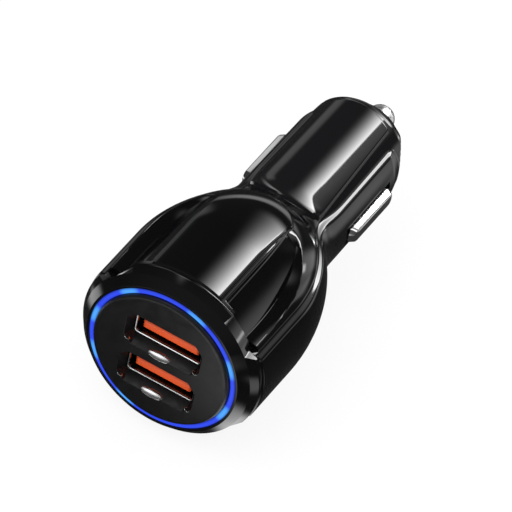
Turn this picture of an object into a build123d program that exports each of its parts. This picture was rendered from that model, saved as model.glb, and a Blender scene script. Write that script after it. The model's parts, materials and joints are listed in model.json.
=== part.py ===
from build123d import *
import os
from math import atan, cos, hypot, radians, sin, sqrt

# Car USB charger plug. The axis runs along Y: the face with the two ports looks towards -Y, the barrel
# points to +Y, and +Z goes out through the top panel. The origin lies on the axis, in the middle of the
# barrel's root land, where the mouth of a 12 V socket guides the plug. Sizes are in millimetres.

# Clearances
SEAT_GAP = 0.05        # between pieces that are pushed or glued together
SLIDE_GAP = 0.08       # radial, round the centre pin
SLOT_GAP = 0.25        # round a side contact in its slot
FREE_GAP = 0.3         # between pieces that pass each other

# Outside of the housing
HEAD_RADIUS = 17.65    # over the panels and spines
HEAD_LENGTH = 13.4     # straight run behind the collar
SHOULDER_LENGTH = 24.0  # from the straight run to the root land
NECK_RADIUS = 11.3     # hollow curve where the neck runs into the barrel
BARREL_RADIUS = 10.4   # root land
LAND_LENGTH = 3.4
BARREL_LENGTH = 23.9   # root land to the end of the barrel
BARREL_DRAFT = 0.25    # how much slimmer the barrel is at its end
END_ROUNDING = 2.0
SIDE_BEVEL_LENGTH = 4.6  # flats that slope in at both sides of the barrel's end
SIDE_BEVEL_DEPTH = 3.6
FRONT_CHAMFER = 0.3
HEAD_STEP = 0.5        # height of the raised bands on the head
BARREL_STEP = 0.6      # and on the barrel

# Raised bands
PANEL_WIDTH = 13.8
PANEL_LENGTH = 24.9    # straight edges of the top and bottom panels
PANEL_ARCH = 4.5       # how far the panel's end bows out past them
STRIP_WIDTH = 14.4     # bands along the barrel, above and below, at their root
STRIP_END_WIDTH = 12.0
STRIP_LEAD = 2.0       # how far their corners start ahead of the root land
STRIP_ARCH = 2.7
STRIP_END_ARCH = 1.0
STRIP_SETBACK = 2.4    # from the end of the strips to the end of the barrel
SPINE_WIDTH = 14.2     # side bands, from the collar to the tip
SPINE_CORNER = 1.2
SPINE_LEAD = 0.6       # from the collar to the front of the spines
SPINE_SETBACK = 4.3

# Finger recesses between panels and spines
RECESS_ANGLE = 52.0    # direction of the recess, up from the side
RECESS_LEAN = 7.0      # its floor drops towards the spine
RECESS_LENGTH = 24.7
RECESS_DEPTH = 1.65    # at the collar
RECESS_TIP_DEPTH = 0.3
RECESS_PANEL_SIDE = 3.0  # edge along the panel, off the recess's middle line
RECESS_SPINE_SIDE = 4.9  # edge towards the spine
RECESS_TIP_OFFSET = 1.9
RECESS_BOW = 2.75      # how far the edge towards the spine bulges
SCOOP_TOP = 56.0       # scoop between recess and collar's crest: its upper end, up from the side
SCOOP_SPAN = 26.0      # angle that it covers
SCOOP_RUN = 1.3        # from the housing's front to its end, where the recess begins
SCOOP_DEPTH = 1.3      # at that end

# Inside of the housing
HEAD_WALL = 2.85
BARREL_WALL = 1.4
END_WALL = 3.3
LEDGE_WIDTH = 1.0      # under the rim of the port board
LEDGE_RUN = 3.0
CAVITY_NECK_RADIUS = 13.0
CAVITY_NECK_LEAD = 1.0
SPIGOT_LENGTH = 1.55
SPIGOT_WALL = 0.65

# Light ring, bezel and face plate
RING_INSET = 3.75      # from the head's outside to the middle of the glowing band
RING_WIDTH = 1.0
RING_FLANGE = 0.4
RING_FLANGE_THICKNESS = 0.6
RING_EDGE = 0.2
LIP_THICKNESS = 0.75
RIM_WIDTH = 0.45       # flat front of the bezel
COLLAR_SINK = 0.2      # bezel under the raised bands
COLLAR_BAND = 0.5      # straight edge behind the bezel's cones
COLLAR_EDGE = 0.6      # rounding between them
CREST_INSET = 1.0      # edge between the front and the rear cone, in from the bezel's outside
CREST_SETBACK = 1.6    # and back from its front
PLATE_PROUD = 0.7
PLATE_THICKNESS = 2.3
PLATE_FOOT_WIDTH = 1.0

# Boards
BOARD_THICKNESS = 1.6
LED_HEIGHT = 0.6
LED_LENGTH = 1.6
LED_WIDTH = 0.8
LED_COUNT = 8
LED_START = 24.0       # angle of the first lamp, up from the right
HEAD_BOARD_WIDTH = 18.0
HEAD_BOARD_LENGTH = 11.0
BARREL_BOARD_WIDTH = 10.0
BOARD_TAPER = 7.0

# USB ports
PORT_PITCH = 9.06
SHELL_WIDTH = 13.1
SHELL_HEIGHT = 5.72
SHELL_WALL = 0.3
SHELL_LENGTH = 13.9
SHELL_CORNER = 0.6
MOUTH_DEPTH = 2.2      # from the plate's front to the shell's mouth
PORT_GAP = 0.15        # round the shell where it enters the plate
OPENING_WIDTH = 15.0   # bevelled opening, at the plate's front
OPENING_WEB = 2.0      # left between the two openings
OPENING_CORNER = 1.6
LIP_LENGTH = 1.6
LIP_GAP = 0.2          # between a flared lip and the bevel
LIP_WIDTH = 4.4
SIDE_LIP_WIDTH = 2.4
TONGUE_WIDTH = 11.1
TONGUE_THICKNESS = 1.9
TONGUE_SETBACK = 0.8   # behind the shell's mouth
TONGUE_OFFSET = 1.05   # below the middle of the port
TONGUE_CHAMFER = 0.35
BLOCK_LENGTH = 2.4     # insulator at the back of the shell
STRIP_CONTACT_WIDTH = 1.0
STRIP_CONTACT_THICKNESS = 0.2
STRIP_CONTACT_SETBACK = 0.8
STRIP_CONTACT_PITCH = 2.3
STRIP_CONTACT_COUNT = 4

# Side contacts
CONTACT_LENGTH = 14.6
CONTACT_WIDTH = 3.7
CONTACT_REACH = 1.15   # beyond the root land
CONTACT_THICKNESS = 0.7
CONTACT_BEND = 1.6
CONTACT_SETBACK = 0.8  # from the root land to the contact
CONTACT_EDGE = 0.6
CONTACT_WALL = 0.5     # along both sides of the contact
FOOT_LENGTH = 1.0
LEAF_THICKNESS = 0.2
LEAF_WIDTH = 2.4
LEAF_SPAN = 10.0

# Centre pin, spring and nose cap
PIN_RADIUS = 2.6
PIN_REACH = 5.8        # from the cap to the end of the pin
FLANGE_RADIUS = 4.0
FLANGE_THICKNESS = 1.0
PIN_TAIL_RADIUS = 1.9
PIN_TAIL_LENGTH = 2.0
NOSE_LENGTH = 0.85     # neck of the half shells inside the cap
NOSE_WALL = 0.75
CAP_RING = 1.1
CAP_WALL = 2.0
CAP_ROUNDING = 1.2
SPRING_LENGTH = 8.0
SPRING_WIRE = 0.25     # radius
SPRING_RADIUS = 2.7    # middle of the wire
SPRING_TURNS = 5
SEAT_FLOOR = 0.8
SEAT_RIM_HEIGHT = 1.0
SEAT_RIM_WIDTH = 0.6

# Parts on the main board
LINK_WIDTH = 10.0
LINK_SIZE = 2.5
DRUM_RADIUS = 4.5
DRUM_HEIGHT = 4.5
DRUM_FLANGE = 0.8
DRUM_CORE_RADIUS = 2.3
WINDING_DEPTH = 1.7
DRUM_SETBACK = 6.0     # from the port board to the middle of the inductor
OUTPUT_CAN_RADIUS = 3.15
OUTPUT_CAN_HEIGHT = 7.0
INPUT_CAN_RADIUS = 2.5
INPUT_CAN_LENGTH = 9.0
CAN_ROUNDING = 0.5
CHIP_LENGTH = 4.9
CHIP_WIDTH = 3.9
CHIP_HEIGHT = 1.5
CHARGE_CHIP_PITCH = 11.0
DIODE_LENGTH = 4.3
DIODE_WIDTH = 2.6
DIODE_HEIGHT = 2.2
FUSE_LENGTH = 6.1
FUSE_SIZE = 2.6
PART_SPACING = 1.5     # between parts along the barrel

# Stations along the axis
land_front_y = -LAND_LENGTH / 2
land_rear_y = LAND_LENGTH / 2
shoulder_y = land_front_y - SHOULDER_LENGTH
housing_front_y = shoulder_y - HEAD_LENGTH
led_board_front_y = housing_front_y - BOARD_THICKNESS
ring_rear_y = led_board_front_y - LED_HEIGHT - SEAT_GAP
lip_rear_y = ring_rear_y - RING_FLANGE_THICKNESS
ring_front_y = lip_rear_y - LIP_THICKNESS
crest_y = ring_front_y + CREST_SETBACK
plate_front_y = ring_front_y - PLATE_PROUD
plate_rear_y = plate_front_y + PLATE_THICKNESS
mouth_y = plate_front_y + MOUTH_DEPTH
port_board_front_y = mouth_y + SHELL_LENGTH
ledge_y = port_board_front_y + BOARD_THICKNESS
barrel_end_y = land_rear_y + BARREL_LENGTH
strip_end_y = barrel_end_y - STRIP_SETBACK
spine_end_y = barrel_end_y - SPINE_SETBACK
end_wall_y = barrel_end_y - END_WALL
cap_wall_y = barrel_end_y + NOSE_LENGTH + SEAT_GAP
flange_front_y = cap_wall_y - SEAT_GAP
flange_rear_y = flange_front_y - FLANGE_THICKNESS
spring_rear_y = flange_rear_y - SEAT_GAP
spring_front_y = spring_rear_y - SPRING_LENGTH
seat_floor_y = spring_front_y - SEAT_GAP
board_end_y = seat_floor_y - SEAT_FLOOR
contact_front_y = land_rear_y + CONTACT_SETBACK
contact_rear_y = contact_front_y + CONTACT_LENGTH
contact_middle_y = (contact_front_y + contact_rear_y) / 2

# Radii about the axis
base_head_radius = HEAD_RADIUS - HEAD_STEP
base_barrel_radius = BARREL_RADIUS - BARREL_STEP
barrel_tip_radius = BARREL_RADIUS - BARREL_DRAFT
base_tip_radius = barrel_tip_radius - BARREL_STEP
cavity_radius = base_head_radius - HEAD_WALL
barrel_cavity_radius = base_barrel_radius - BARREL_WALL
ledge_radius = cavity_radius - LEDGE_WIDTH
ring_radius = HEAD_RADIUS - RING_INSET
ring_inner_radius = ring_radius - RING_WIDTH / 2
ring_outer_radius = ring_radius + RING_WIDTH / 2
ring_flange_radius = ring_outer_radius + RING_FLANGE
spigot_inner_radius = ring_flange_radius + 2 * SEAT_GAP
spigot_radius = spigot_inner_radius + SPIGOT_WALL
lip_radius = ring_outer_radius + SEAT_GAP
collar_radius = HEAD_RADIUS - COLLAR_SINK
crest_radius = collar_radius - CREST_INSET
plate_radius = ring_inner_radius - SEAT_GAP
port_corner_radius = hypot(SHELL_WIDTH / 2, (PORT_PITCH + SHELL_HEIGHT) / 2)
nose_bore_radius = FLANGE_RADIUS + FREE_GAP
nose_radius = nose_bore_radius + NOSE_WALL
cap_bore_radius = nose_radius + SEAT_GAP
cap_radius = cap_bore_radius + CAP_RING
pin_hole_radius = PIN_RADIUS + SLIDE_GAP

# Heights
board_top_z = BOARD_THICKNESS / 2
board_under_z = -BOARD_THICKNESS / 2
port_heights = {"upper": PORT_PITCH / 2, "lower": -PORT_PITCH / 2}
contact_outer_x = BARREL_RADIUS + CONTACT_REACH
foot_half_width = CONTACT_WIDTH / 2
foot_outer_x = sqrt(barrel_cavity_radius**2 - foot_half_width**2) - SEAT_GAP
foot_inner_x = foot_outer_x - CONTACT_THICKNESS
board_edge_x = BARREL_BOARD_WIDTH / 2
outside = 2 * HEAD_RADIUS


def across(y):
    """Plane across the axis at a station, with X to the right and Z up as seen from the front."""
    return Plane.XZ.offset(-y)


def up_from_side(angle):
    """Direction away from the axis, at an angle in degrees up from the right side."""
    return Vector(cos(radians(angle)), 0, sin(radians(angle)))


def bell_turn(head_radius, barrel_radius, start_y, end_y):
    """Angle that the shoulder turns through, and that the neck turns back."""
    return 2 * atan((head_radius - barrel_radius) / (end_y - start_y))


def bell_meeting(head_radius, barrel_radius, start_y, end_y, neck_radius):
    """Point where the round shoulder meets the hollow neck, as radius and station."""
    turn = bell_turn(head_radius, barrel_radius, start_y, end_y)
    return (
        barrel_radius + neck_radius * (1 - cos(turn)),
        end_y - neck_radius * sin(turn),
    )


def shoulder_radius_at(y):
    """Radius of the housing's base form on the shoulder, ahead of the neck."""
    turn = bell_turn(base_head_radius, base_barrel_radius, shoulder_y, land_front_y)
    shoulder_curve = SHOULDER_LENGTH / sin(turn) - NECK_RADIUS
    return base_head_radius - shoulder_curve + sqrt(shoulder_curve**2 - max(y - shoulder_y, 0) ** 2)


def outer_form(head_radius, barrel_radius, tip_radius, rounding):
    """Half section of a bell and barrel, to be turned about the axis."""
    meeting = bell_meeting(head_radius, barrel_radius, shoulder_y, land_front_y, NECK_RADIUS)
    with BuildSketch() as section:
        with BuildLine():
            Polyline(
                (0, housing_front_y),
                (head_radius - FRONT_CHAMFER, housing_front_y),
                (head_radius, housing_front_y + FRONT_CHAMFER),
            )
            head = Line((head_radius, housing_front_y + FRONT_CHAMFER), (head_radius, shoulder_y))
            shoulder = TangentArc(head @ 1, meeting, tangent=head % 1)
            TangentArc(shoulder @ 1, (barrel_radius, land_front_y), tangent=shoulder % 1)
            Line((barrel_radius, land_front_y), (barrel_radius, land_rear_y))
            Polyline(
                (barrel_radius, land_rear_y),
                (tip_radius, barrel_end_y),
                (0, barrel_end_y),
                (0, housing_front_y),
            )
        make_face()
        if rounding > 0:
            fillet(section.vertices().group_by(Axis.Y)[-1].sort_by(Axis.X)[-1], rounding)
    return section


def save(piece, name):
    """Labels a finished piece and writes it."""
    piece.part.label = name
    export_step(piece.part, f"parts/{name}.step")


os.makedirs("parts", exist_ok=True)

# Bands that stand proud of the housing: panels and barrel strips above and below, spines at the sides
with BuildPart() as band_outlines:
    with BuildSketch(Plane.XY):
        with BuildLine():
            panel_foot_y = housing_front_y + PANEL_LENGTH
            half_panel = PANEL_WIDTH / 2
            Polyline(
                (half_panel, panel_foot_y),
                (half_panel, housing_front_y),
                (-half_panel, housing_front_y),
                (-half_panel, panel_foot_y),
            )
            ThreePointArc(
                (-half_panel, panel_foot_y),
                (0, panel_foot_y + PANEL_ARCH),
                (half_panel, panel_foot_y),
            )
        make_face()
        with BuildLine():
            strip_foot_y = land_front_y - STRIP_LEAD
            half_strip = STRIP_WIDTH / 2
            half_strip_end = STRIP_END_WIDTH / 2
            strip_corner_y = strip_end_y - STRIP_END_ARCH
            for way in (1, -1):
                Line((way * half_strip, strip_foot_y), (way * half_strip_end, strip_corner_y))
            ThreePointArc(
                (half_strip_end, strip_corner_y),
                (0, strip_end_y),
                (-half_strip_end, strip_corner_y),
            )
            ThreePointArc(
                (-half_strip, strip_foot_y),
                (0, strip_foot_y - STRIP_ARCH),
                (half_strip, strip_foot_y),
            )
        make_face()
    extrude(amount=outside, both=True)
    with BuildSketch(Plane.YZ):
        with BuildLine():
            half_spine = SPINE_WIDTH / 2
            spine_front_y = housing_front_y + SPINE_LEAD
            Polyline(
                (spine_front_y, half_spine),
                (spine_end_y, half_spine),
                (spine_end_y, -half_spine),
                (spine_front_y, -half_spine),
                close=True,
            )
        spine = make_face()
        fillet(spine.vertices().group_by(Axis.X)[-1], SPINE_CORNER)
    extrude(amount=outside, both=True)

with BuildPart() as raised_bands:
    add(outer_form(HEAD_RADIUS, BARREL_RADIUS, barrel_tip_radius, 0).sketch)
    revolve(axis=Axis.Y)
    add(band_outlines.part, mode=Mode.INTERSECT)

# Finger recesses, one between each panel and each spine, deepest at the collar
recess_drop = base_head_radius - shoulder_radius_at(housing_front_y + RECESS_LENGTH)
recess_tilt = atan((recess_drop + RECESS_TIP_DEPTH - RECESS_DEPTH) / RECESS_LENGTH)
recess_out = up_from_side(RECESS_ANGLE)
floor_out = up_from_side(RECESS_ANGLE - RECESS_LEAN)
recess_floor = Plane(
    origin=recess_out * (base_head_radius - RECESS_DEPTH) + Vector(0, housing_front_y, 0),
    x_dir=Vector(0, cos(recess_tilt), 0) - floor_out * sin(recess_tilt),
    z_dir=floor_out * cos(recess_tilt) + Vector(0, sin(recess_tilt), 0),
)
with BuildPart() as recesses:
    with BuildSketch(recess_floor):
        with BuildLine():
            recess_tip = (RECESS_LENGTH, RECESS_TIP_OFFSET)
            recess_corner = (SCOOP_RUN, -RECESS_SPINE_SIDE)
            Polyline(recess_tip, (SCOOP_RUN, RECESS_PANEL_SIDE), recess_corner)
            ThreePointArc(
                recess_corner,
                (RECESS_LENGTH / 2, (RECESS_TIP_OFFSET - RECESS_SPINE_SIDE) / 2 - RECESS_BOW),
                recess_tip,
            )
        make_face()
    extrude(amount=HEAD_RADIUS)
    mirror(about=Plane.YZ)
    mirror(about=Plane.XY)

# Scoops by which the recesses run out over the collar
scoop_out = up_from_side(SCOOP_TOP)
scoop_end_y = housing_front_y + SCOOP_RUN
with BuildPart() as scoops:
    with BuildSketch(Plane(origin=(0, 0, 0), x_dir=scoop_out, z_dir=scoop_out.cross(Vector(0, 1, 0)))):
        with BuildLine():
            Polyline(
                (crest_radius, crest_y),
                (base_head_radius - SCOOP_DEPTH, scoop_end_y),
                (2 * HEAD_RADIUS, scoop_end_y),
                (2 * HEAD_RADIUS, crest_y),
                close=True,
            )
        make_face()
    revolve(axis=Axis.Y, revolution_arc=SCOOP_SPAN)
    mirror(about=Plane.YZ)
    mirror(about=Plane.XY)

# Whole housing, before it is parted into its two halves
with BuildPart() as housing:
    add(outer_form(base_head_radius, base_barrel_radius, base_tip_radius, END_ROUNDING).sketch)
    revolve(axis=Axis.Y)
    add(raised_bands.part)
    add(recesses.part, mode=Mode.SUBTRACT)
    add(scoops.part, mode=Mode.SUBTRACT)
    with BuildSketch():
        with BuildLine():
            Polyline(
                (barrel_tip_radius, barrel_end_y - SIDE_BEVEL_LENGTH),
                (outside, barrel_end_y - SIDE_BEVEL_LENGTH),
                (outside, barrel_end_y),
                (barrel_tip_radius - SIDE_BEVEL_DEPTH, barrel_end_y),
                close=True,
            )
        make_face()
        mirror(about=Plane.YZ)
    extrude(amount=outside, both=True, mode=Mode.SUBTRACT)
    with BuildSketch():
        with Locations((0, housing_front_y)):
            Rectangle(spigot_radius, SPIGOT_LENGTH, align=(Align.MIN, Align.MAX))
        with Locations((0, barrel_end_y)):
            Rectangle(nose_radius, NOSE_LENGTH, align=(Align.MIN, Align.MIN))
    revolve(axis=Axis.Y)
    with BuildSketch():
        with BuildLine():
            cavity_shoulder_y = ledge_y + LEDGE_RUN
            cavity_neck_y = land_front_y - CAVITY_NECK_LEAD
            cavity_meeting = bell_meeting(
                ledge_radius, barrel_cavity_radius, cavity_shoulder_y, cavity_neck_y, CAVITY_NECK_RADIUS
            )
            Polyline(
                (0, housing_front_y - SPIGOT_LENGTH),
                (spigot_inner_radius, housing_front_y - SPIGOT_LENGTH),
                (spigot_inner_radius, housing_front_y),
                (cavity_radius, housing_front_y),
                (cavity_radius, ledge_y),
                (ledge_radius, ledge_y),
            )
            ledge_run = Line((ledge_radius, ledge_y), (ledge_radius, cavity_shoulder_y))
            inner_shoulder = TangentArc(ledge_run @ 1, cavity_meeting, tangent=ledge_run % 1)
            neck_end = (barrel_cavity_radius, cavity_neck_y)
            TangentArc(inner_shoulder @ 1, neck_end, tangent=inner_shoulder % 1)
            Polyline(
                neck_end,
                (barrel_cavity_radius, end_wall_y),
                (nose_bore_radius, end_wall_y),
                (nose_bore_radius, barrel_end_y + NOSE_LENGTH),
                (0, barrel_end_y + NOSE_LENGTH),
                (0, housing_front_y - SPIGOT_LENGTH),
            )
        make_face()
    revolve(axis=Axis.Y, mode=Mode.SUBTRACT)
    with BuildSketch(Plane.YZ):
        with Locations((contact_middle_y, 0)):
            Rectangle(CONTACT_LENGTH + 2 * SLOT_GAP, CONTACT_WIDTH + 2 * SLOT_GAP)
    extrude(amount=outside, both=True, mode=Mode.SUBTRACT)

with BuildPart() as upper_shell:
    add(housing.part)
    split(bisect_by=Plane.XY, keep=Keep.TOP)
save(upper_shell, "upper_shell")

with BuildPart() as lower_shell:
    add(housing.part)
    split(bisect_by=Plane.XY, keep=Keep.BOTTOM)
save(lower_shell, "lower_shell")

# Bezel: a collar of two cones that is pushed over the spigot of the two half shells
with BuildPart() as front_bezel:
    with BuildSketch() as bezel_section:
        with BuildLine():
            rim_radius = lip_radius + RIM_WIDTH
            socket_radius = spigot_radius + SEAT_GAP
            socket_y = housing_front_y - SPIGOT_LENGTH - SEAT_GAP
            Polyline(
                (collar_radius, housing_front_y - FRONT_CHAMFER),
                (collar_radius, housing_front_y - COLLAR_BAND),
                (crest_radius, crest_y),
                (rim_radius, ring_front_y),
                (lip_radius, ring_front_y),
                (lip_radius, lip_rear_y),
                (ring_flange_radius + SEAT_GAP, lip_rear_y),
                (ring_flange_radius + SEAT_GAP, socket_y),
                (socket_radius, socket_y),
                (socket_radius, housing_front_y),
                (collar_radius - FRONT_CHAMFER, housing_front_y),
                close=True,
            )
        make_face()
        band_front = (collar_radius, housing_front_y - COLLAR_BAND)
        fillet(bezel_section.vertices().sort_by_distance(band_front)[0], COLLAR_EDGE)
    revolve(axis=Axis.Y)
    add(scoops.part, mode=Mode.SUBTRACT)
save(front_bezel, "front_bezel")

# Light ring: its flange is trapped behind the bezel's lip
with BuildPart() as light_ring:
    with BuildSketch() as ring_section:
        with BuildLine():
            Polyline(
                (ring_inner_radius, ring_front_y),
                (ring_outer_radius, ring_front_y),
                (ring_outer_radius, lip_rear_y),
                (ring_flange_radius, lip_rear_y),
                (ring_flange_radius, ring_rear_y),
                (ring_inner_radius, ring_rear_y),
                close=True,
            )
        make_face()
        fillet(ring_section.vertices().group_by(Axis.Y)[0], RING_EDGE)
    revolve(axis=Axis.Y)
save(light_ring, "light_ring")

# Face plate: it stands on the lamp board by a foot round its rim
opening_height = PORT_PITCH - OPENING_WEB
entry_width = SHELL_WIDTH + 2 * PORT_GAP
entry_height = SHELL_HEIGHT + 2 * PORT_GAP
with BuildPart() as face_plate:
    with BuildSketch() as plate_section:
        with BuildLine():
            Polyline(
                (0, plate_front_y),
                (plate_radius, plate_front_y),
                (plate_radius, led_board_front_y),
                (plate_radius - PLATE_FOOT_WIDTH, led_board_front_y),
                (plate_radius - PLATE_FOOT_WIDTH, plate_rear_y),
                (0, plate_rear_y),
                close=True,
            )
        make_face()
        fillet(plate_section.vertices().group_by(Axis.Y)[0].sort_by(Axis.X)[-1], PLATE_PROUD)
    revolve(axis=Axis.Y)
    for port_z in port_heights.values():
        with BuildSketch(across(plate_front_y)) as opening_front:
            with Locations((0, port_z + entry_height / 2)):
                Rectangle(OPENING_WIDTH, opening_height, align=(Align.CENTER, Align.MAX))
            chamfer(opening_front.vertices(), OPENING_CORNER)
        with BuildSketch(across(plate_rear_y)) as opening_rear:
            with Locations((0, port_z)):
                Rectangle(entry_width, entry_height)
            chamfer(opening_rear.vertices(), SHELL_CORNER / 2)
        loft(ruled=True, mode=Mode.SUBTRACT)
save(face_plate, "face_plate")

# Lamp board and lamps behind the light ring
with BuildPart() as led_board:
    with BuildSketch(across(housing_front_y)):
        Circle(ring_flange_radius)
        Circle(port_corner_radius + FREE_GAP, mode=Mode.SUBTRACT)
    extrude(amount=BOARD_THICKNESS)
save(led_board, "led_board")

with BuildPart() as blue_leds:
    with BuildSketch(across(led_board_front_y)):
        with PolarLocations(ring_radius, LED_COUNT, start_angle=LED_START):
            Rectangle(LED_WIDTH, LED_LENGTH)
    extrude(amount=LED_HEIGHT)
save(blue_leds, "blue_leds")

# Receptacles, one above the other: shell, insulator with its tongue, and contact strips
inner_width = SHELL_WIDTH - 2 * SHELL_WALL
inner_height = SHELL_HEIGHT - 2 * SHELL_WALL
block_front_y = port_board_front_y - BLOCK_LENGTH
tongue_front_y = mouth_y + TONGUE_SETBACK
lip_front_y = mouth_y - LIP_LENGTH
lip_share = (plate_rear_y - lip_front_y) / PLATE_THICKNESS
lip_flare = PORT_GAP + lip_share * (opening_height - entry_height) - LIP_GAP
side_lip_flare = PORT_GAP + lip_share * (OPENING_WIDTH - entry_width) / 2 - LIP_GAP
for level, port_z in port_heights.items():
    with BuildPart() as usb_shell:
        with BuildSketch(across(port_board_front_y)):
            with Locations((0, port_z)):
                RectangleRounded(SHELL_WIDTH, SHELL_HEIGHT, SHELL_CORNER)
                RectangleRounded(inner_width, inner_height, SHELL_CORNER - SHELL_WALL, mode=Mode.SUBTRACT)
        extrude(amount=SHELL_LENGTH)
        with BuildSketch(Plane.YZ):
            with BuildLine():
                Polyline(
                    (mouth_y, port_z - inner_height / 2),
                    (lip_front_y, port_z - inner_height / 2 - lip_flare),
                    (lip_front_y, port_z - SHELL_HEIGHT / 2 - lip_flare),
                    (mouth_y, port_z - SHELL_HEIGHT / 2),
                    close=True,
                )
            make_face()
        extrude(amount=LIP_WIDTH / 2, both=True)
        for way in (1, -1):
            with BuildSketch(Plane.XY.offset(port_z)):
                with BuildLine():
                    Polyline(
                        (way * inner_width / 2, mouth_y),
                        (way * (inner_width / 2 + side_lip_flare), lip_front_y),
                        (way * (SHELL_WIDTH / 2 + side_lip_flare), lip_front_y),
                        (way * SHELL_WIDTH / 2, mouth_y),
                        close=True,
                    )
                make_face()
            extrude(amount=SIDE_LIP_WIDTH / 2, both=True)
    save(usb_shell, f"usb_shell_{level}")

    tongue_z = port_z - TONGUE_OFFSET
    with BuildPart() as usb_tongue:
        with BuildSketch(across(port_board_front_y)):
            with Locations((0, port_z)):
                RectangleRounded(
                    inner_width - 2 * SEAT_GAP,
                    inner_height - 2 * SEAT_GAP,
                    SHELL_CORNER - SHELL_WALL,
                )
        extrude(amount=BLOCK_LENGTH)
        with BuildSketch(across(block_front_y)):
            with Locations((0, tongue_z)):
                Rectangle(TONGUE_WIDTH, TONGUE_THICKNESS)
        extrude(amount=block_front_y - tongue_front_y)
        chamfer(usb_tongue.faces().sort_by(Axis.Y)[0].edges(), TONGUE_CHAMFER)
    save(usb_tongue, f"usb_tongue_{level}")

    with BuildPart() as usb_pins:
        strip_front_y = tongue_front_y + STRIP_CONTACT_SETBACK
        with BuildSketch(Plane.XY.offset(tongue_z + TONGUE_THICKNESS / 2)):
            with Locations((0, (strip_front_y + block_front_y) / 2)):
                with GridLocations(STRIP_CONTACT_PITCH, 0, STRIP_CONTACT_COUNT, 1):
                    Rectangle(STRIP_CONTACT_WIDTH, block_front_y - strip_front_y)
        extrude(amount=STRIP_CONTACT_THICKNESS)
    save(usb_pins, f"usb_pins_{level}")

# Round board that carries the receptacles, on the ledge in the housing
with BuildPart() as port_board:
    with BuildSketch(across(ledge_y)):
        Circle(cavity_radius - SEAT_GAP)
    extrude(amount=BOARD_THICKNESS)
save(port_board, "port_board")

# Main board on the axis, narrower in the barrel
with BuildPart() as main_board:
    with BuildSketch(Plane.XY.offset(board_under_z)):
        with BuildLine():
            half_head_board = HEAD_BOARD_WIDTH / 2
            taper_y = ledge_y + HEAD_BOARD_LENGTH
            Polyline(
                (half_head_board, ledge_y),
                (half_head_board, taper_y),
                (board_edge_x, taper_y + BOARD_TAPER),
                (board_edge_x, board_end_y),
                (-board_edge_x, board_end_y),
                (-board_edge_x, taper_y + BOARD_TAPER),
                (-half_head_board, taper_y),
                (-half_head_board, ledge_y),
                close=True,
            )
        make_face()
    extrude(amount=BOARD_THICKNESS)
save(main_board, "main_board")

with BuildPart() as board_link:
    with BuildSketch(Plane.XY.offset(board_top_z)):
        with Locations((0, ledge_y)):
            Rectangle(LINK_WIDTH, LINK_SIZE, align=(Align.CENTER, Align.MIN))
    extrude(amount=LINK_SIZE)
save(board_link, "board_link")

# Inductor: a drum core with its winding
drum_y = ledge_y + LINK_SIZE + DRUM_SETBACK
with BuildPart() as inductor_core:
    with BuildSketch(Plane.XY.offset(board_top_z)):
        with Locations((0, drum_y)):
            Circle(DRUM_RADIUS)
    extrude(amount=DRUM_HEIGHT)
    with BuildSketch(Plane.XY.offset(board_top_z + DRUM_FLANGE)):
        with Locations((0, drum_y)):
            Circle(DRUM_RADIUS)
            Circle(DRUM_CORE_RADIUS, mode=Mode.SUBTRACT)
    extrude(amount=DRUM_HEIGHT - 2 * DRUM_FLANGE, mode=Mode.SUBTRACT)
save(inductor_core, "inductor_core")

with BuildPart() as inductor_winding:
    with BuildSketch(Plane.XY.offset(board_top_z + DRUM_FLANGE + SEAT_GAP)):
        with Locations((0, drum_y)):
            Circle(DRUM_CORE_RADIUS + SEAT_GAP + WINDING_DEPTH)
            Circle(DRUM_CORE_RADIUS + SEAT_GAP, mode=Mode.SUBTRACT)
    extrude(amount=DRUM_HEIGHT - 2 * DRUM_FLANGE - 2 * SEAT_GAP)
save(inductor_winding, "inductor_winding")

# Capacitors: one stands under the head's board, one lies on the barrel's board
with BuildPart() as output_capacitor:
    with BuildSketch(Plane.XY.offset(board_under_z)):
        with Locations((0, drum_y)):
            Circle(OUTPUT_CAN_RADIUS)
    extrude(amount=-OUTPUT_CAN_HEIGHT)
    fillet(output_capacitor.edges().sort_by(Axis.Z)[0], CAN_ROUNDING)
save(output_capacitor, "output_capacitor")

barrel_parts_y = taper_y + BOARD_TAPER + PART_SPACING
with BuildPart() as input_capacitor:
    with BuildSketch(across(barrel_parts_y + INPUT_CAN_LENGTH)):
        with Locations((0, board_top_z + SEAT_GAP + INPUT_CAN_RADIUS)):
            Circle(INPUT_CAN_RADIUS)
    extrude(amount=INPUT_CAN_LENGTH)
    fillet(input_capacitor.edges().sort_by(Axis.Y)[-1], CAN_ROUNDING)
save(input_capacitor, "input_capacitor")

# Chips, diode and fuse
with BuildPart() as converter_chip:
    with BuildSketch(Plane.XY.offset(board_under_z)):
        with Locations((0, barrel_parts_y)):
            Rectangle(CHIP_WIDTH, CHIP_LENGTH, align=(Align.CENTER, Align.MIN))
    extrude(amount=-CHIP_HEIGHT)
save(converter_chip, "converter_chip")

with BuildPart() as charge_chips:
    with BuildSketch(Plane.XY.offset(board_under_z)):
        with Locations((0, drum_y)):
            with GridLocations(CHARGE_CHIP_PITCH, 0, 2, 1):
                Rectangle(CHIP_WIDTH, CHIP_LENGTH)
    extrude(amount=-CHIP_HEIGHT)
save(charge_chips, "charge_chips")

with BuildPart() as diode:
    with BuildSketch(Plane.XY.offset(board_top_z)):
        with Locations((0, barrel_parts_y + INPUT_CAN_LENGTH + PART_SPACING)):
            Rectangle(DIODE_WIDTH, DIODE_LENGTH, align=(Align.CENTER, Align.MIN))
    extrude(amount=DIODE_HEIGHT)
save(diode, "diode")

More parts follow.
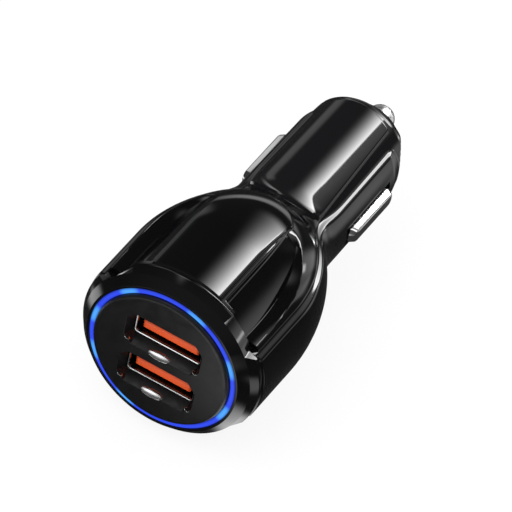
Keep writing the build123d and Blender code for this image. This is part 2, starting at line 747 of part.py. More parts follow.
with BuildPart() as fuse:
    with BuildSketch(Plane.XY.offset(board_under_z)):
        with Locations((0, barrel_parts_y + CHIP_LENGTH + PART_SPACING)):
            Rectangle(FUSE_SIZE, FUSE_LENGTH, align=(Align.CENTER, Align.MIN))
    extrude(amount=-FUSE_SIZE)
save(fuse, "fuse")

# Side contacts: pressed pans that stand out of their slots, with feet that stop them inside the barrel
for side, way in (("right", 1), ("left", -1)):
    with BuildPart() as contact:
        with BuildSketch(Plane.XY) as contact_section:
            for offset_in in (0, CONTACT_THICKNESS):
                with BuildLine():
                    Polyline(
                        (way * foot_inner_x, contact_front_y + offset_in),
                        (way * (contact_outer_x - offset_in), contact_front_y + offset_in),
                        (way * (contact_outer_x - offset_in), contact_rear_y - offset_in),
                        (way * foot_inner_x, contact_rear_y - offset_in),
                        close=True,
                    )
                make_face(mode=Mode.SUBTRACT if offset_in else Mode.ADD)
            far_corners = contact_section.vertices().sort_by(Axis.X, reverse=way > 0)
            fillet(far_corners[0:2], CONTACT_BEND)
            fillet(far_corners[2:4], CONTACT_BEND - CONTACT_THICKNESS)
            for foot_y in (contact_front_y - FOOT_LENGTH, contact_rear_y - CONTACT_THICKNESS):
                with Locations((way * (foot_inner_x + foot_outer_x) / 2, foot_y)):
                    Rectangle(
                        CONTACT_THICKNESS,
                        FOOT_LENGTH + CONTACT_THICKNESS,
                        align=(Align.CENTER, Align.MIN),
                    )
        extrude(amount=CONTACT_WIDTH / 2, both=True)
        for wall_z in (CONTACT_WALL - CONTACT_WIDTH / 2, CONTACT_WIDTH / 2):
            with BuildSketch(Plane.XY.offset(wall_z)) as wall_section:
                with Locations((way * (foot_inner_x + contact_outer_x) / 2, contact_middle_y)):
                    Rectangle(contact_outer_x - foot_inner_x, CONTACT_LENGTH)
                fillet(wall_section.vertices().sort_by(Axis.X, reverse=way > 0)[0:2], CONTACT_BEND)
            extrude(amount=-CONTACT_WALL)
        with BuildSketch(across(contact_rear_y + FOOT_LENGTH)) as contact_outline:
            with Locations((way * contact_outer_x / 2, 0)):
                Rectangle(contact_outer_x, CONTACT_WIDTH)
            outer_corners = contact_outline.vertices().sort_by(Axis.X, reverse=way > 0)[0:2]
            fillet(outer_corners, CONTACT_EDGE)
        extrude(amount=CONTACT_LENGTH + 2 * FOOT_LENGTH, mode=Mode.INTERSECT)
    save(contact, f"{side}_contact")

    with BuildPart() as leaf_spring:
        with BuildSketch(Plane.XY):
            with BuildLine():
                leaf_foot_x = board_edge_x + SEAT_GAP
                leaf_crown_x = contact_outer_x - CONTACT_THICKNESS - SEAT_GAP
                half_span = LEAF_SPAN / 2
                outer_leaf = ThreePointArc(
                    (way * leaf_foot_x, contact_middle_y - half_span),
                    (way * leaf_crown_x, contact_middle_y),
                    (way * leaf_foot_x, contact_middle_y + half_span),
                )
                inner_leaf = ThreePointArc(
                    (way * leaf_foot_x, contact_middle_y - half_span + LEAF_THICKNESS),
                    (way * (leaf_crown_x - LEAF_THICKNESS), contact_middle_y),
                    (way * leaf_foot_x, contact_middle_y + half_span - LEAF_THICKNESS),
                )
                Line(outer_leaf @ 0, inner_leaf @ 0)
                Line(outer_leaf @ 1, inner_leaf @ 1)
            make_face()
        extrude(amount=LEAF_WIDTH / 2, both=True)
    save(leaf_spring, f"{side}_leaf_spring")

# Nose cap: a ring over the neck of both half shells, with the hole for the pin
with BuildPart() as nose_cap:
    with BuildSketch() as cap_section:
        with BuildLine():
            cap_end_y = cap_wall_y + CAP_WALL
            Polyline(
                (cap_bore_radius, barrel_end_y + SEAT_GAP),
                (cap_radius, barrel_end_y + SEAT_GAP),
                (cap_radius, cap_end_y),
                (pin_hole_radius, cap_end_y),
                (pin_hole_radius, cap_wall_y),
                (cap_bore_radius, cap_wall_y),
                close=True,
            )
        make_face()
        fillet(cap_section.vertices().group_by(Axis.Y)[-1].sort_by(Axis.X)[-1], CAP_ROUNDING)
    revolve(axis=Axis.Y)
save(nose_cap, "nose_cap")

# Centre pin: round nose, flange that stops behind the cap, and a tail inside the spring
with BuildPart() as centre_pin:
    with BuildSketch() as pin_section:
        with BuildLine():
            pin_end_y = cap_end_y + PIN_REACH
            Polyline(
                (0, flange_rear_y - PIN_TAIL_LENGTH),
                (PIN_TAIL_RADIUS, flange_rear_y - PIN_TAIL_LENGTH),
                (PIN_TAIL_RADIUS, flange_rear_y),
                (FLANGE_RADIUS, flange_rear_y),
                (FLANGE_RADIUS, flange_front_y),
                (PIN_RADIUS, flange_front_y),
                (PIN_RADIUS, pin_end_y - PIN_RADIUS),
            )
            RadiusArc((PIN_RADIUS, pin_end_y - PIN_RADIUS), (0, pin_end_y), -PIN_RADIUS)
            Line((0, pin_end_y), (0, flange_rear_y - PIN_TAIL_LENGTH))
        make_face()
    revolve(axis=Axis.Y)
save(centre_pin, "centre_pin")

# Spring behind the pin and the cup that it stands in, on the end of the main board
with BuildPart() as pin_spring:
    with BuildLine():
        coil = Helix(
            pitch=(SPRING_LENGTH - 2 * SPRING_WIRE) / SPRING_TURNS,
            height=SPRING_LENGTH - 2 * SPRING_WIRE,
            radius=SPRING_RADIUS,
            center=(0, spring_front_y + SPRING_WIRE, 0),
            direction=(0, 1, 0),
        )
    with BuildSketch(Plane(origin=coil @ 0, z_dir=coil % 0)):
        Circle(SPRING_WIRE)
    sweep(path=coil, is_frenet=True)
save(pin_spring, "pin_spring")

with BuildPart() as spring_seat:
    seat_rim_radius = SPRING_RADIUS + SPRING_WIRE + FREE_GAP
    with BuildSketch(across(board_end_y)):
        Circle(seat_rim_radius + SEAT_RIM_WIDTH)
    extrude(amount=-SEAT_FLOOR)
    with BuildSketch(across(seat_floor_y)):
        Circle(seat_rim_radius + SEAT_RIM_WIDTH)
        Circle(seat_rim_radius, mode=Mode.SUBTRACT)
    extrude(amount=-SEAT_RIM_HEIGHT)
save(spring_seat, "spring_seat")
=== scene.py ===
"""Dressed model of a car USB charger plug, built round its CAD frame."""

import json
import math

import bmesh
import bpy
import numpy as np
from bpy.props import FloatProperty, FloatVectorProperty, IntProperty, PointerProperty
from mathutils import Matrix, Vector


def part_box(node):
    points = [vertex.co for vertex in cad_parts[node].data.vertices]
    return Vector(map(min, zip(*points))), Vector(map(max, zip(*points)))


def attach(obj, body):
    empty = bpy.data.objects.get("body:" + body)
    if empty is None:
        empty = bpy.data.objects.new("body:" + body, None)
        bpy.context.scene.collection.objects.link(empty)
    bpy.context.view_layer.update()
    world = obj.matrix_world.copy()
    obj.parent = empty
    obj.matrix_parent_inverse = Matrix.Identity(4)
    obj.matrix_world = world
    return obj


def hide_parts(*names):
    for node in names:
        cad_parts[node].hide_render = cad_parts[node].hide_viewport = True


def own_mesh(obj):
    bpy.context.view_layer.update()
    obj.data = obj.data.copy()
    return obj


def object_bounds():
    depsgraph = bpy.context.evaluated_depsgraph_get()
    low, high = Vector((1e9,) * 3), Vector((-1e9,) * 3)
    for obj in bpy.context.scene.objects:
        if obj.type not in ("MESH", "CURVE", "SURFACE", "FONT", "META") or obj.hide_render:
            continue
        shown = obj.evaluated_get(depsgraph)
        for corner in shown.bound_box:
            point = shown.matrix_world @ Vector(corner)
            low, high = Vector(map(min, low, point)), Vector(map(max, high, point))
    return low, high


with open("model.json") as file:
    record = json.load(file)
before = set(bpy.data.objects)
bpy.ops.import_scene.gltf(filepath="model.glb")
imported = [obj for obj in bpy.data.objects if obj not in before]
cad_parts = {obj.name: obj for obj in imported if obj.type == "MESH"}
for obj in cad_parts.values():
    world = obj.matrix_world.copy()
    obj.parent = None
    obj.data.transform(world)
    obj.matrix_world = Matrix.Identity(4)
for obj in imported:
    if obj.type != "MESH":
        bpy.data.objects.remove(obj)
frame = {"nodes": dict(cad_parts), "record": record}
cad_low, cad_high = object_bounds()

bl_info = {
    "name": "Car USB Charger Plug",
    "version": (1, 0, 0),
    "blender": (4, 5, 0),
    "location": "View3D > Sidebar > Charger Plug",
    "description": "Builds the dressed model of a car USB charger plug round its CAD frame",
    "category": "Object",
}

MM = 0.001

# Stations along the axis and radii that the frame gives
PLATE_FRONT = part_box("face_plate")[0].y
RING_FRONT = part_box("light_ring")[0].y
RING_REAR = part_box("light_ring")[1].y
HOUSING_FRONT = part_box("front_bezel")[1].y
SPIGOT_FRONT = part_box("upper_shell")[0].y
NOSE_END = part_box("upper_shell")[1].y
CAP_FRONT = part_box("nose_cap")[0].y
CAP_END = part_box("nose_cap")[1].y
PIN_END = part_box("centre_pin")[1].y
PIN_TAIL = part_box("centre_pin")[0].y
COLLAR_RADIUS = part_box("front_bezel")[1].x
RING_FLANGE_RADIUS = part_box("light_ring")[1].x
CAP_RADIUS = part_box("nose_cap")[1].x
PIN_FLANGE_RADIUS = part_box("centre_pin")[1].x

# Stations of the housing
SHOULDER_Y = -25.7 * MM
LAND_FRONT_Y = -1.7 * MM
LAND_REAR_Y = 1.7 * MM
BARREL_END_Y = 25.6 * MM
STRIP_FOOT_Y = -3.7 * MM
STRIP_CORNER_Y = 22.2 * MM
SPINE_FRONT_Y = HOUSING_FRONT + 0.6 * MM
SPINE_END_Y = 21.3 * MM
SIDE_BEVEL_Y = 21.0 * MM
TAIL_Y = 18.5 * MM
PANEL_FOOT_Y = HOUSING_FRONT + 24.9 * MM
SCOOP_END_Y = HOUSING_FRONT + 1.3 * MM
LEDGE_Y = -25.7 * MM
END_WALL_Y = 22.3 * MM
NECK_CURVE = 11.3 * MM
END_ROUNDING = 2.0 * MM
FRONT_CHAMFER = 0.3 * MM
SPIGOT_BORE = RING_FLANGE_RADIUS + 0.1 * MM
SPIGOT_RADIUS = SPIGOT_BORE + 0.65 * MM
FIT_GAP = 0.05 * MM
SOCKET_RADIUS = SPIGOT_RADIUS + FIT_GAP
FAR = 1.0

# Ports
PORT_HEIGHT = 4.53 * MM
MOUTH_Y = PLATE_FRONT + 2.1 * MM
SHELL_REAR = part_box("usb_shell_upper")[1].y
TONGUE_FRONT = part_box("usb_tongue_upper")[0].y


def length(name, description, default):
    """A length that a user can change."""
    return FloatProperty(
        name=name, description=description, default=default, min=0.0, precision=5,
        unit="LENGTH", subtype="DISTANCE",
    )


def level(name, description, default):
    """A level of light that a user can change."""
    return FloatProperty(name=name, description=description, default=default, min=0.0)


def colour(name, description, default):
    """A colour that a user can change."""
    return FloatVectorProperty(
        name=name, description=description, default=default, size=3, min=0.0, max=1.0, subtype="COLOR"
    )


class HousingSizes(bpy.types.PropertyGroup):
    """Sizes of the moulded bell housing."""

    head_radius: length("Head radius", "Over the panels and spines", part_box("upper_shell")[1].x)
    barrel_radius: length("Barrel radius", "Over the bands of the root land", 10.4 * MM)
    barrel_draft: length("Barrel draft", "How much slimmer the barrel is at its end", 0.25 * MM)
    head_step: length("Head step", "Height of the raised bands on the head", 0.5 * MM)
    barrel_step: length("Barrel step", "Height of the raised bands on the barrel", 0.6 * MM)
    panel_half: length("Panel half width", "From the middle of a panel to its edge", 6.9 * MM)
    panel_arch: length("Panel arch", "How far the end of a panel bows out", 4.5 * MM)
    strip_half: length(
        "Strip half width", "From the middle of a barrel strip to its edge, at its root", 7.2 * MM
    )
    strip_end_half: length("Strip end half width", "The same at the tip", 6.0 * MM)
    strip_arch: length("Strip arch", "How far the front of a strip bows out", 2.7 * MM)
    strip_end_arch: length("Strip end arch", "How far the end of a strip bows out", 1.0 * MM)
    spine_half: length(
        "Spine half width", "From the parting line to the edge of a spine, on the head", 7.1 * MM
    )
    spine_barrel_half: length("Spine barrel half width", "The same on the barrel", 5.85 * MM)
    spine_corner: length("Spine corner", "Rounded rear corners of a spine", 1.2 * MM)
    spine_bevel: length("Spine bevel", "Width of the sloping edge of a spine on the head", 1.1 * MM)
    spine_barrel_bevel: length(
        "Spine barrel bevel", "Width of the sloping edge of a spine on the barrel", 0.9 * MM
    )
    spine_roll: length("Spine roll", "Length over which a spine rolls down at its end", 2.2 * MM)
    spine_foot: length("Spine foot", "How far the shoulder dips beside a spine", 0.3 * MM)
    edge_width: length("Edge width", "Width of the sloping edge of a panel or strip", 0.34 * MM)
    recess_depth: length("Recess depth", "Depth of a finger recess beside the panel", 1.0 * MM)
    recess_wall: length("Recess wall", "Width of the sloping wall of a finger recess", 1.65 * MM)
    side_bevel: length(
        "Side bevel", "How far the flats at the sides of the barrel's end slope in", 3.6 * MM
    )


class FrontSizes(bpy.types.PropertyGroup):
    """Sizes of the collar, the light ring, the lamps and the ports."""

    turn_segments: IntProperty(
        name="Turning steps", description="Steps round a turned piece", default=192, min=48, max=400
    )
    rim_width: length("Rim width", "Flat front of the collar", 0.45 * MM)
    crest_inset: length(
        "Crest inset", "From the collar's outside in to the edge between its cones", 1.0 * MM
    )
    crest_setback: length("Crest setback", "From the collar's front back to that edge", 1.6 * MM)
    collar_band: length("Collar band", "Straight edge behind the cones", 0.5 * MM)
    edge_radius: length("Edge radius", "Small rounding on turned and bent edges", 0.12 * MM)
    lamp_length: length("Lamp length", "Round the ring", 1.6 * MM)
    lamp_width: length("Lamp width", "Across the ring", 0.8 * MM)
    strip_width: length("Contact width", "Width of a contact strip in a port", 1.0 * MM)
    strip_pitch: length("Contact pitch", "Between the contact strips of a port", 2.3 * MM)
    spring_wire: length("Spring wire", "Radius of the wire of the pin spring", 0.25 * MM)


class FinishColours(bpy.types.PropertyGroup):
    """Colours of the finishes."""

    gloss_black: colour("Gloss black", "Housing, collar and cap", (0.004, 0.004, 0.0045))
    face_satin: colour("Face satin", "Face plate", (0.005, 0.005, 0.0056))
    glow: colour("Glow", "Light ring between its lamps", (0.021, 0.051, 0.72))
    glow_spot: colour("Glow spot", "Light ring over a lamp", (0.07, 0.36, 0.98))
    orange: colour("Orange", "Insulators in the ports", (0.74, 0.085, 0.012))
    nickel: colour("Nickel", "Side contacts and centre pin", (0.86, 0.86, 0.87))
    tin: colour("Tin", "Port shells", (0.72, 0.72, 0.73))
    board: colour("Board", "Circuit boards", (0.02, 0.16, 0.06))


class StudioLevels(bpy.types.PropertyGroup):
    """Levels of the studio light."""

    ambient: level("Ambient", "Level of the light from all round", 1.2)
    lamp: level("Lamp", "Power of the soft lamp overhead, in watts", 1.3)
    softbox: level("Softbox", "Level of the bright edge of the long softbox", 19.0)
    surround: level("Surround", "Level of the dark cards round the plug", 0.04)


class PlugSettings(bpy.types.PropertyGroup):
    """Everything that a user can change on the plug."""

    housing: PointerProperty(type=HousingSizes)
    front: PointerProperty(type=FrontSizes)
    finish: PointerProperty(type=FinishColours)
    studio: PointerProperty(type=StudioLevels)


# Meshes

MERGE_GAP = 1e-6
FLAT_ANGLE = math.radians(1.0)
BEVEL_ANGLE = math.radians(30)


def new_piece(name, points, faces):
    """A mesh object from plain lists."""
    mesh = bpy.data.meshes.new(name)
    mesh.from_pydata([tuple(p) for p in points], [], [tuple(f) for f in faces])
    mesh.update()
    piece = bpy.data.objects.new(name, mesh)
    bpy.context.scene.collection.objects.link(piece)
    return piece


def close_mesh(piece, gap=1e-7):
    """Merges doubles and turns the faces of a closed mesh outwards."""
    form = bmesh.new()
    form.from_mesh(piece.data)
    bmesh.ops.remove_doubles(form, verts=form.verts[:], dist=gap)
    bmesh.ops.dissolve_degenerate(form, edges=form.edges[:], dist=gap)
    bmesh.ops.recalc_face_normals(form, faces=form.faces[:])
    form.to_mesh(piece.data)
    form.free()


def settle(piece):
    """Makes the result of a piece's modifiers its plain mesh."""
    bpy.context.view_layer.update()
    evaluated = piece.evaluated_get(bpy.context.evaluated_depsgraph_get())
    mesh = bpy.data.meshes.new_from_object(evaluated)
    piece.modifiers.clear()
    old = piece.data
    piece.data = mesh
    mesh.name = piece.name
    if old.users == 0:
        bpy.data.meshes.remove(old)


def smooth(piece, degrees=35):
    """Smooth faces with sharp edges where the surface turns hard."""
    for face in piece.data.polygons:
        face.use_smooth = True
    piece.data.set_sharp_from_angle(angle=math.radians(degrees))


def dress(piece, body, slot, material, *nodes):
    """Gives a finished piece its material and its place in the frame."""
    piece.data.materials.clear()
    piece.data.materials.append(material)
    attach(piece, body)
    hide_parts(*nodes)
    return piece


def rounded_copy(node, name, radius, segments=3, move=None):
    """A copy of a CAD node with rounded edges; move shifts its points before they are rounded."""
    piece = bpy.data.objects.new(name, frame["nodes"][node].data.copy())
    piece.data.name = name
    bpy.context.scene.collection.objects.link(piece)
    form = bmesh.new()
    form.from_mesh(piece.data)
    bmesh.ops.remove_doubles(form, verts=form.verts[:], dist=MERGE_GAP)
    bmesh.ops.dissolve_limit(
        form, angle_limit=FLAT_ANGLE, verts=form.verts[:], edges=form.edges[:], use_dissolve_boundaries=False
    )
    if move:
        for vert in form.verts:
            move(vert.co)
    form.to_mesh(piece.data)
    form.free()
    for face in piece.data.polygons:
        face.use_smooth = True
    edge = piece.modifiers.new("edge", "BEVEL")
    edge.width = radius
    edge.segments = segments
    edge.limit_method = "ANGLE"
    edge.angle_limit = BEVEL_ANGLE
    edge.use_clamp_overlap = True
    even = piece.modifiers.new("even", "WEIGHTED_NORMAL")
    even.keep_sharp = True
    settle(piece)
    return piece


# Nodes


class Wiring:
    """Nodes and links of a material, of the world or of a Geometry Nodes tree."""

    def __init__(self, tree):
        self.tree = tree
        self.nodes = tree.nodes
        self.links = tree.links

    def feed(self, socket, value):
        """Links an output to a socket, or sets its value."""
        if isinstance(value, bpy.types.NodeSocket):
            self.links.new(value, socket)
        else:
            socket.default_value = value

    def operate(self, kind, operation, values):
        """The outputs of a node that works on values."""
        node = self.nodes.new(kind)
        node.operation = operation
        for socket, value in zip(node.inputs, values):
            self.feed(socket, value)
        return node.outputs

    def calc(self, operation, *values):
        """A math node's result."""
        return self.operate("ShaderNodeMath", operation, values)[0]

    def vector(self, operation, *values):
        """A vector math node's outputs."""
        return self.operate("ShaderNodeVectorMath", operation, values)

    def remap(self, value, start, end, low=0.0, high=1.0, soft=False):
        """Runs from low to high while a value goes from start to end."""
        node = self.nodes.new("ShaderNodeMapRange")
        if soft:
            node.interpolation_type = "SMOOTHSTEP"
        for key, amount in (("From Min", start), ("From Max", end), ("To Min", low), ("To Max", high)):
            node.inputs[key].default_value = amount
        self.links.new(value, node.inputs["Value"])
        return node.outputs["Result"]

    def split(self, vector):
        """The X, Y and Z of a vector."""
        node = self.nodes.new("ShaderNodeSeparateXYZ")
        self.links.new(vector, node.inputs[0])
        return node.outputs


class Tree(Wiring):
    """A Geometry Nodes tree under construction."""

    def __init__(self, name):
        super().__init__(bpy.data.node_groups.new(name, "GeometryNodeTree"))
        self.tree.interface.new_socket("Geometry", in_out="OUTPUT", socket_type="NodeSocketGeometry")
        self.sockets = {}
        self.source = self.nodes.new("NodeGroupInput")
        self.result = self.nodes.new("NodeGroupOutput")

    def input(self, name, kind):
        """Adds a named input and returns its socket in the tree."""
        item = self.tree.interface.new_socket(name, in_out="INPUT", socket_type=kind)
        self.sockets[name] = item.identifier
        return self.source.outputs[name]

    def node(self, kind, **values):
        """Adds a node; values are its inputs by name, or settings of the node itself."""
        node = self.nodes.new(kind)
        for key, value in values.items():
            if hasattr(node, key) and key not in node.inputs:
                setattr(node, key, value)
        for key, value in values.items():
            if key in node.inputs:
                self.feed(node.inputs[key], value)
        return node

    def end(self, geometry):
        """Ends the tree in realised geometry with its material."""
        material = self.input("Material", "NodeSocketMaterial")
        realised = self.node("GeometryNodeRealizeInstances", Geometry=geometry)
        painted = self.node("GeometryNodeSetMaterial", Geometry=realised.outputs[0], Material=material)
        self.links.new(painted.outputs[0], self.result.inputs[0])

    def grow(self, piece, **values):
        """Runs the tree on a piece and keeps the result as its plain mesh."""
        modifier = piece.modifiers.new(self.tree.name, "NODES")
        modifier.node_group = self.tree
        for key, value in values.items():
            modifier[self.sockets[key]] = value
        settle(piece)


def turning_tree():
    """Turns a profile about the plug's axis."""
    t = Tree("turned piece")
    profile = t.input("Profile", "NodeSocketGeometry")
    steps = t.input("Steps", "NodeSocketInt")
    rows = t.node("GeometryNodeAttributeDomainSize", Geometry=profile).outputs["Point Count"]
    sheet = t.node("GeometryNodeMeshGrid")
    t.feed(sheet.inputs["Vertices X"], t.calc("ADD", steps, 1))
    t.feed(sheet.inputs["Vertices Y"], rows)
    index = t.node("GeometryNodeInputIndex").outputs[0]
    row = t.calc("MODULO", index, rows)
    column = t.calc("FLOOR", t.calc("DIVIDE", t.calc("ADD", index, 0.5), rows))
    place = t.node("GeometryNodeInputPosition").outputs[0]
    sample = t.node("GeometryNodeSampleIndex", data_type="FLOAT_VECTOR", Geometry=profile)
    t.links.new(place, sample.inputs["Value"])
    t.links.new(row, sample.inputs["Index"])
    split = t.split(sample.outputs[0])
    angle = t.calc("MULTIPLY", column, t.calc("DIVIDE", math.tau, steps))
    point = t.node(
        "ShaderNodeCombineXYZ",
        X=t.calc("MULTIPLY", split["X"], t.calc("COSINE", angle)),
        Y=split["Y"],
        Z=t.calc("MULTIPLY", split["X"], t.calc("SINE", angle)),
    )
    turned = t.node("GeometryNodeSetPosition", Geometry=sheet.outputs["Mesh"], Position=point.outputs[0])
    closed = t.node("GeometryNodeMergeByDistance", Geometry=turned.outputs[0], Distance=MERGE_GAP)
    t.end(closed.outputs[0])
    return t


def lamp_tree():
    """Sets lamps evenly round the ring."""
    t = Tree("lamps round the ring")
    count = t.input("Count", "NodeSocketInt")
    radius = t.input("Radius", "NodeSocketFloat")
    start = t.input("Start angle", "NodeSocketFloat")
    size = t.input("Lamp size", "NodeSocketVector")
    station = t.input("Station", "NodeSocketVector")
    ring = t.node("GeometryNodeMeshCircle", Vertices=count, Radius=radius)
    lamp = t.node("GeometryNodeMeshCube", Size=size)
    facing = t.node("FunctionNodeAlignRotationToVector", axis="X")
    t.feed(facing.inputs["Vector"], t.node("GeometryNodeInputPosition").outputs[0])
    lamps = t.node(
        "GeometryNodeInstanceOnPoints",
        Points=ring.outputs["Mesh"],
        Instance=lamp.outputs["Mesh"],
        Rotation=facing.outputs[0],
    )
    spun = t.node("GeometryNodeTransform", Geometry=lamps.outputs[0])
    t.feed(spun.inputs["Rotation"], t.node("ShaderNodeCombineXYZ", Z=start).outputs[0])
    stood = t.node("GeometryNodeTransform", Geometry=spun.outputs[0], Translation=station)
    stood.inputs["Rotation"].default_value = (math.radians(90), 0, 0)
    t.end(stood.outputs[0])
    return t


def strip_tree():
    """Sets contact strips side by side on a tongue."""
    t = Tree("contact strips")
    count = t.input("Count", "NodeSocketInt")
    pitch = t.input("Pitch", "NodeSocketFloat")
    size = t.input("Strip size", "NodeSocketVector")
    middle = t.input("Middle", "NodeSocketVector")
    row = t.node("GeometryNodeMeshLine", mode="OFFSET", Count=count)
    t.feed(row.inputs["Offset"], t.node("ShaderNodeCombineXYZ", X=pitch).outputs[0])
    half_row = t.calc("MULTIPLY", t.calc("MULTIPLY", t.calc("SUBTRACT", count, 1), pitch), -0.5)
    t.feed(row.inputs["Start Location"], t.node("ShaderNodeCombineXYZ", X=half_row).outputs[0])
    strip = t.node("GeometryNodeMeshCube", Size=size)
    strips = t.node("GeometryNodeInstanceOnPoints", Points=row.outputs[0], Instance=strip.outputs["Mesh"])
    placed = t.node("GeometryNodeTransform", Geometry=strips.outputs[0], Translation=middle)
    t.end(placed.outputs[0])
    return t


COIL_STEPS = 40
WIRE_STEPS = 12


def spring_tree():
    """Winds a coil spring along the axis."""
    t = Tree("coil spring")
    turns = t.input("Turns", "NodeSocketFloat")
    radius = t.input("Radius", "NodeSocketFloat")
    height = t.input("Height", "NodeSocketFloat")
    wire = t.input("Wire", "NodeSocketFloat")
    station = t.input("Station", "NodeSocketVector")
    coil = t.node("GeometryNodeCurveSpiral", Resolution=COIL_STEPS, Rotations=turns, Height=height)
    t.feed(coil.inputs["Start Radius"], radius)
    t.feed(coil.inputs["End Radius"], radius)
    section = t.node("GeometryNodeCurvePrimitiveCircle", Resolution=WIRE_STEPS, Radius=wire)
    tube = t.node("GeometryNodeCurveToMesh", Curve=coil.outputs[0])
    t.feed(tube.inputs["Profile Curve"], section.outputs[0])
    tube.inputs["Fill Caps"].default_value = True
    laid = t.node("GeometryNodeTransform", Geometry=tube.outputs[0], Translation=station)
    laid.inputs["Rotation"].default_value = (math.radians(-90), 0, 0)
    t.end(laid.outputs[0])
    return t


# Finishes

NOISE_SPAN = (0.3, 0.7)  # where most of the noise lies
ROUGH_SPREAD = (0.8, 1.2)
RELIEF_GRAIN = 6  # how much finer the relief is than the shades
RELIEF_STRENGTH = 0.4
PAINTED_SHADE_STATIONS = (-14 * MM, -3 * MM)  # stations between which the painted shade runs from the darker head to the lighter barrel
MOUTH_PAINTED_SHADE = (0.12 * MM, 0.4 * MM)  # painted shade: how far behind their front the parts of a port are painted darker, for the shade deep inside it
GLOW_RADIUS = 13.88 * MM
GLOW_HALF_WIDTH = 0.62 * MM
GLOW_PEAK = 1.1
SPOT_ANGLES = (24, 70, 127, 171, 205, 248, 340)
SPOT_SPREAD = 10
finishes = {}


class Finish(Wiring):
    """A procedural material under construction."""

    def __init__(self, name):
        self.material = bpy.data.materials.new(name)
        self.material.use_nodes = True
        super().__init__(self.material.node_tree)
        self.shader = self.nodes["Principled BSDF"]

    def set(self, **values):
        """Sets the shader's own sockets."""
        for key, value in values.items():
            self.shader.inputs[key.replace("_", " ")].default_value = value

    def place(self):
        """Object coordinates."""
        return self.nodes.new("ShaderNodeTexCoord").outputs["Object"]

    def noise(self, grain, stretch=(1, 1, 1), detail=3.0):
        """Noise on Object coordinates, with grain features to the metre."""
        mapping = self.nodes.new("ShaderNodeMapping")
        mapping.inputs["Scale"].default_value = stretch
        noise = self.nodes.new("ShaderNodeTexNoise")
        noise.inputs["Scale"].default_value = grain
        noise.inputs["Detail"].default_value = detail
        self.links.new(self.place(), mapping.inputs["Vector"])
        self.links.new(mapping.outputs["Vector"], noise.inputs["Vector"])
        return noise.outputs["Fac"]

    def along(self, start, end):
        """Rises from 0 to 1 between two stations on the plug's axis."""
        return self.remap(self.split(self.place())["Y"], start, end)

    def between(self, factor, first, second, socket):
        """A shader socket whose colour lies between two colours."""
        mix = self.nodes.new("ShaderNodeMix")
        mix.data_type = "RGBA"
        colours = [s for s in mix.inputs if s.type == "RGBA"]
        colours[0].default_value = (*first, 1)
        colours[1].default_value = (*second, 1)
        self.links.new(factor, mix.inputs["Factor"])
        self.links.new([s for s in mix.outputs if s.type == "RGBA"][0], self.shader.inputs[socket])

    def shades(self, factor, first, second):
        """Base colour between two shades, set by a factor: a random wander under noise, painted shade under
        a gradient along the axis.
        """
        self.between(factor, first, second, "Base Color")

    def wander(self, factor, socket, low, high):
        """A shader socket that wanders between two values."""
        self.links.new(self.remap(factor, *NOISE_SPAN, low, high), self.shader.inputs[socket])

    def bump(self, factor, height, strength):
        """Fine relief, height in metres."""
        bump = self.nodes.new("ShaderNodeBump")
        bump.inputs["Distance"].default_value = height
        bump.inputs["Strength"].default_value = strength
        self.links.new(factor, bump.inputs["Height"])
        self.links.new(bump.outputs["Normal"], self.shader.inputs["Normal"])


def tone(base, factor):
    """A colour made lighter or darker."""
    return tuple(min(1.0, c * factor) for c in base)


def plain_finish(name, base, rough, metallic=0.0, grain=900, spread=0.25, stretch=(1, 1, 1), relief=0.0):
    """A finish whose shade and gloss wander a little over the surface."""
    f = Finish(name)
    f.set(Metallic=metallic)
    patch = f.noise(grain, stretch)
    f.shades(patch, tone(base, 1 - spread), tone(base, 1 + spread))
    f.wander(patch, "Roughness", *(rough * share for share in ROUGH_SPREAD))
    if relief:
        f.bump(f.noise(grain * RELIEF_GRAIN, stretch, 2.0), relief, RELIEF_STRENGTH)
    return f.material


def glow_finish(name, base, spot):
    """Light ring: an even glow that is brighter over each lamp."""
    f = Finish(name)
    f.set(Base_Color=(0.01, 0.02, 0.12, 1), Roughness=0.3, Specular_IOR_Level=0.1)
    flat = f.vector("MULTIPLY", f.place(), (1, 0, 1))["Vector"]
    way = f.vector("NORMALIZE", flat)["Vector"]
    edge = math.cos(math.radians(SPOT_SPREAD))
    spots = 0.0
    for angle in map(math.radians, SPOT_ANGLES):
        lamp = f.vector("DOT_PRODUCT", way, (math.cos(angle), 0, math.sin(angle)))["Value"]
        spots = f.calc("MAXIMUM", spots, f.remap(lamp, edge, 1.0, soft=True))
    f.between(spots, base, spot, "Emission Color")
    off = f.calc("SUBTRACT", f.vector("LENGTH", flat)["Value"], GLOW_RADIUS)
    off = f.calc("DIVIDE", off, GLOW_HALF_WIDTH)
    strength = f.calc("SUBTRACT", GLOW_PEAK, f.calc("MULTIPLY", off, off))
    f.links.new(strength, f.shader.inputs["Emission Strength"])
    return f.material


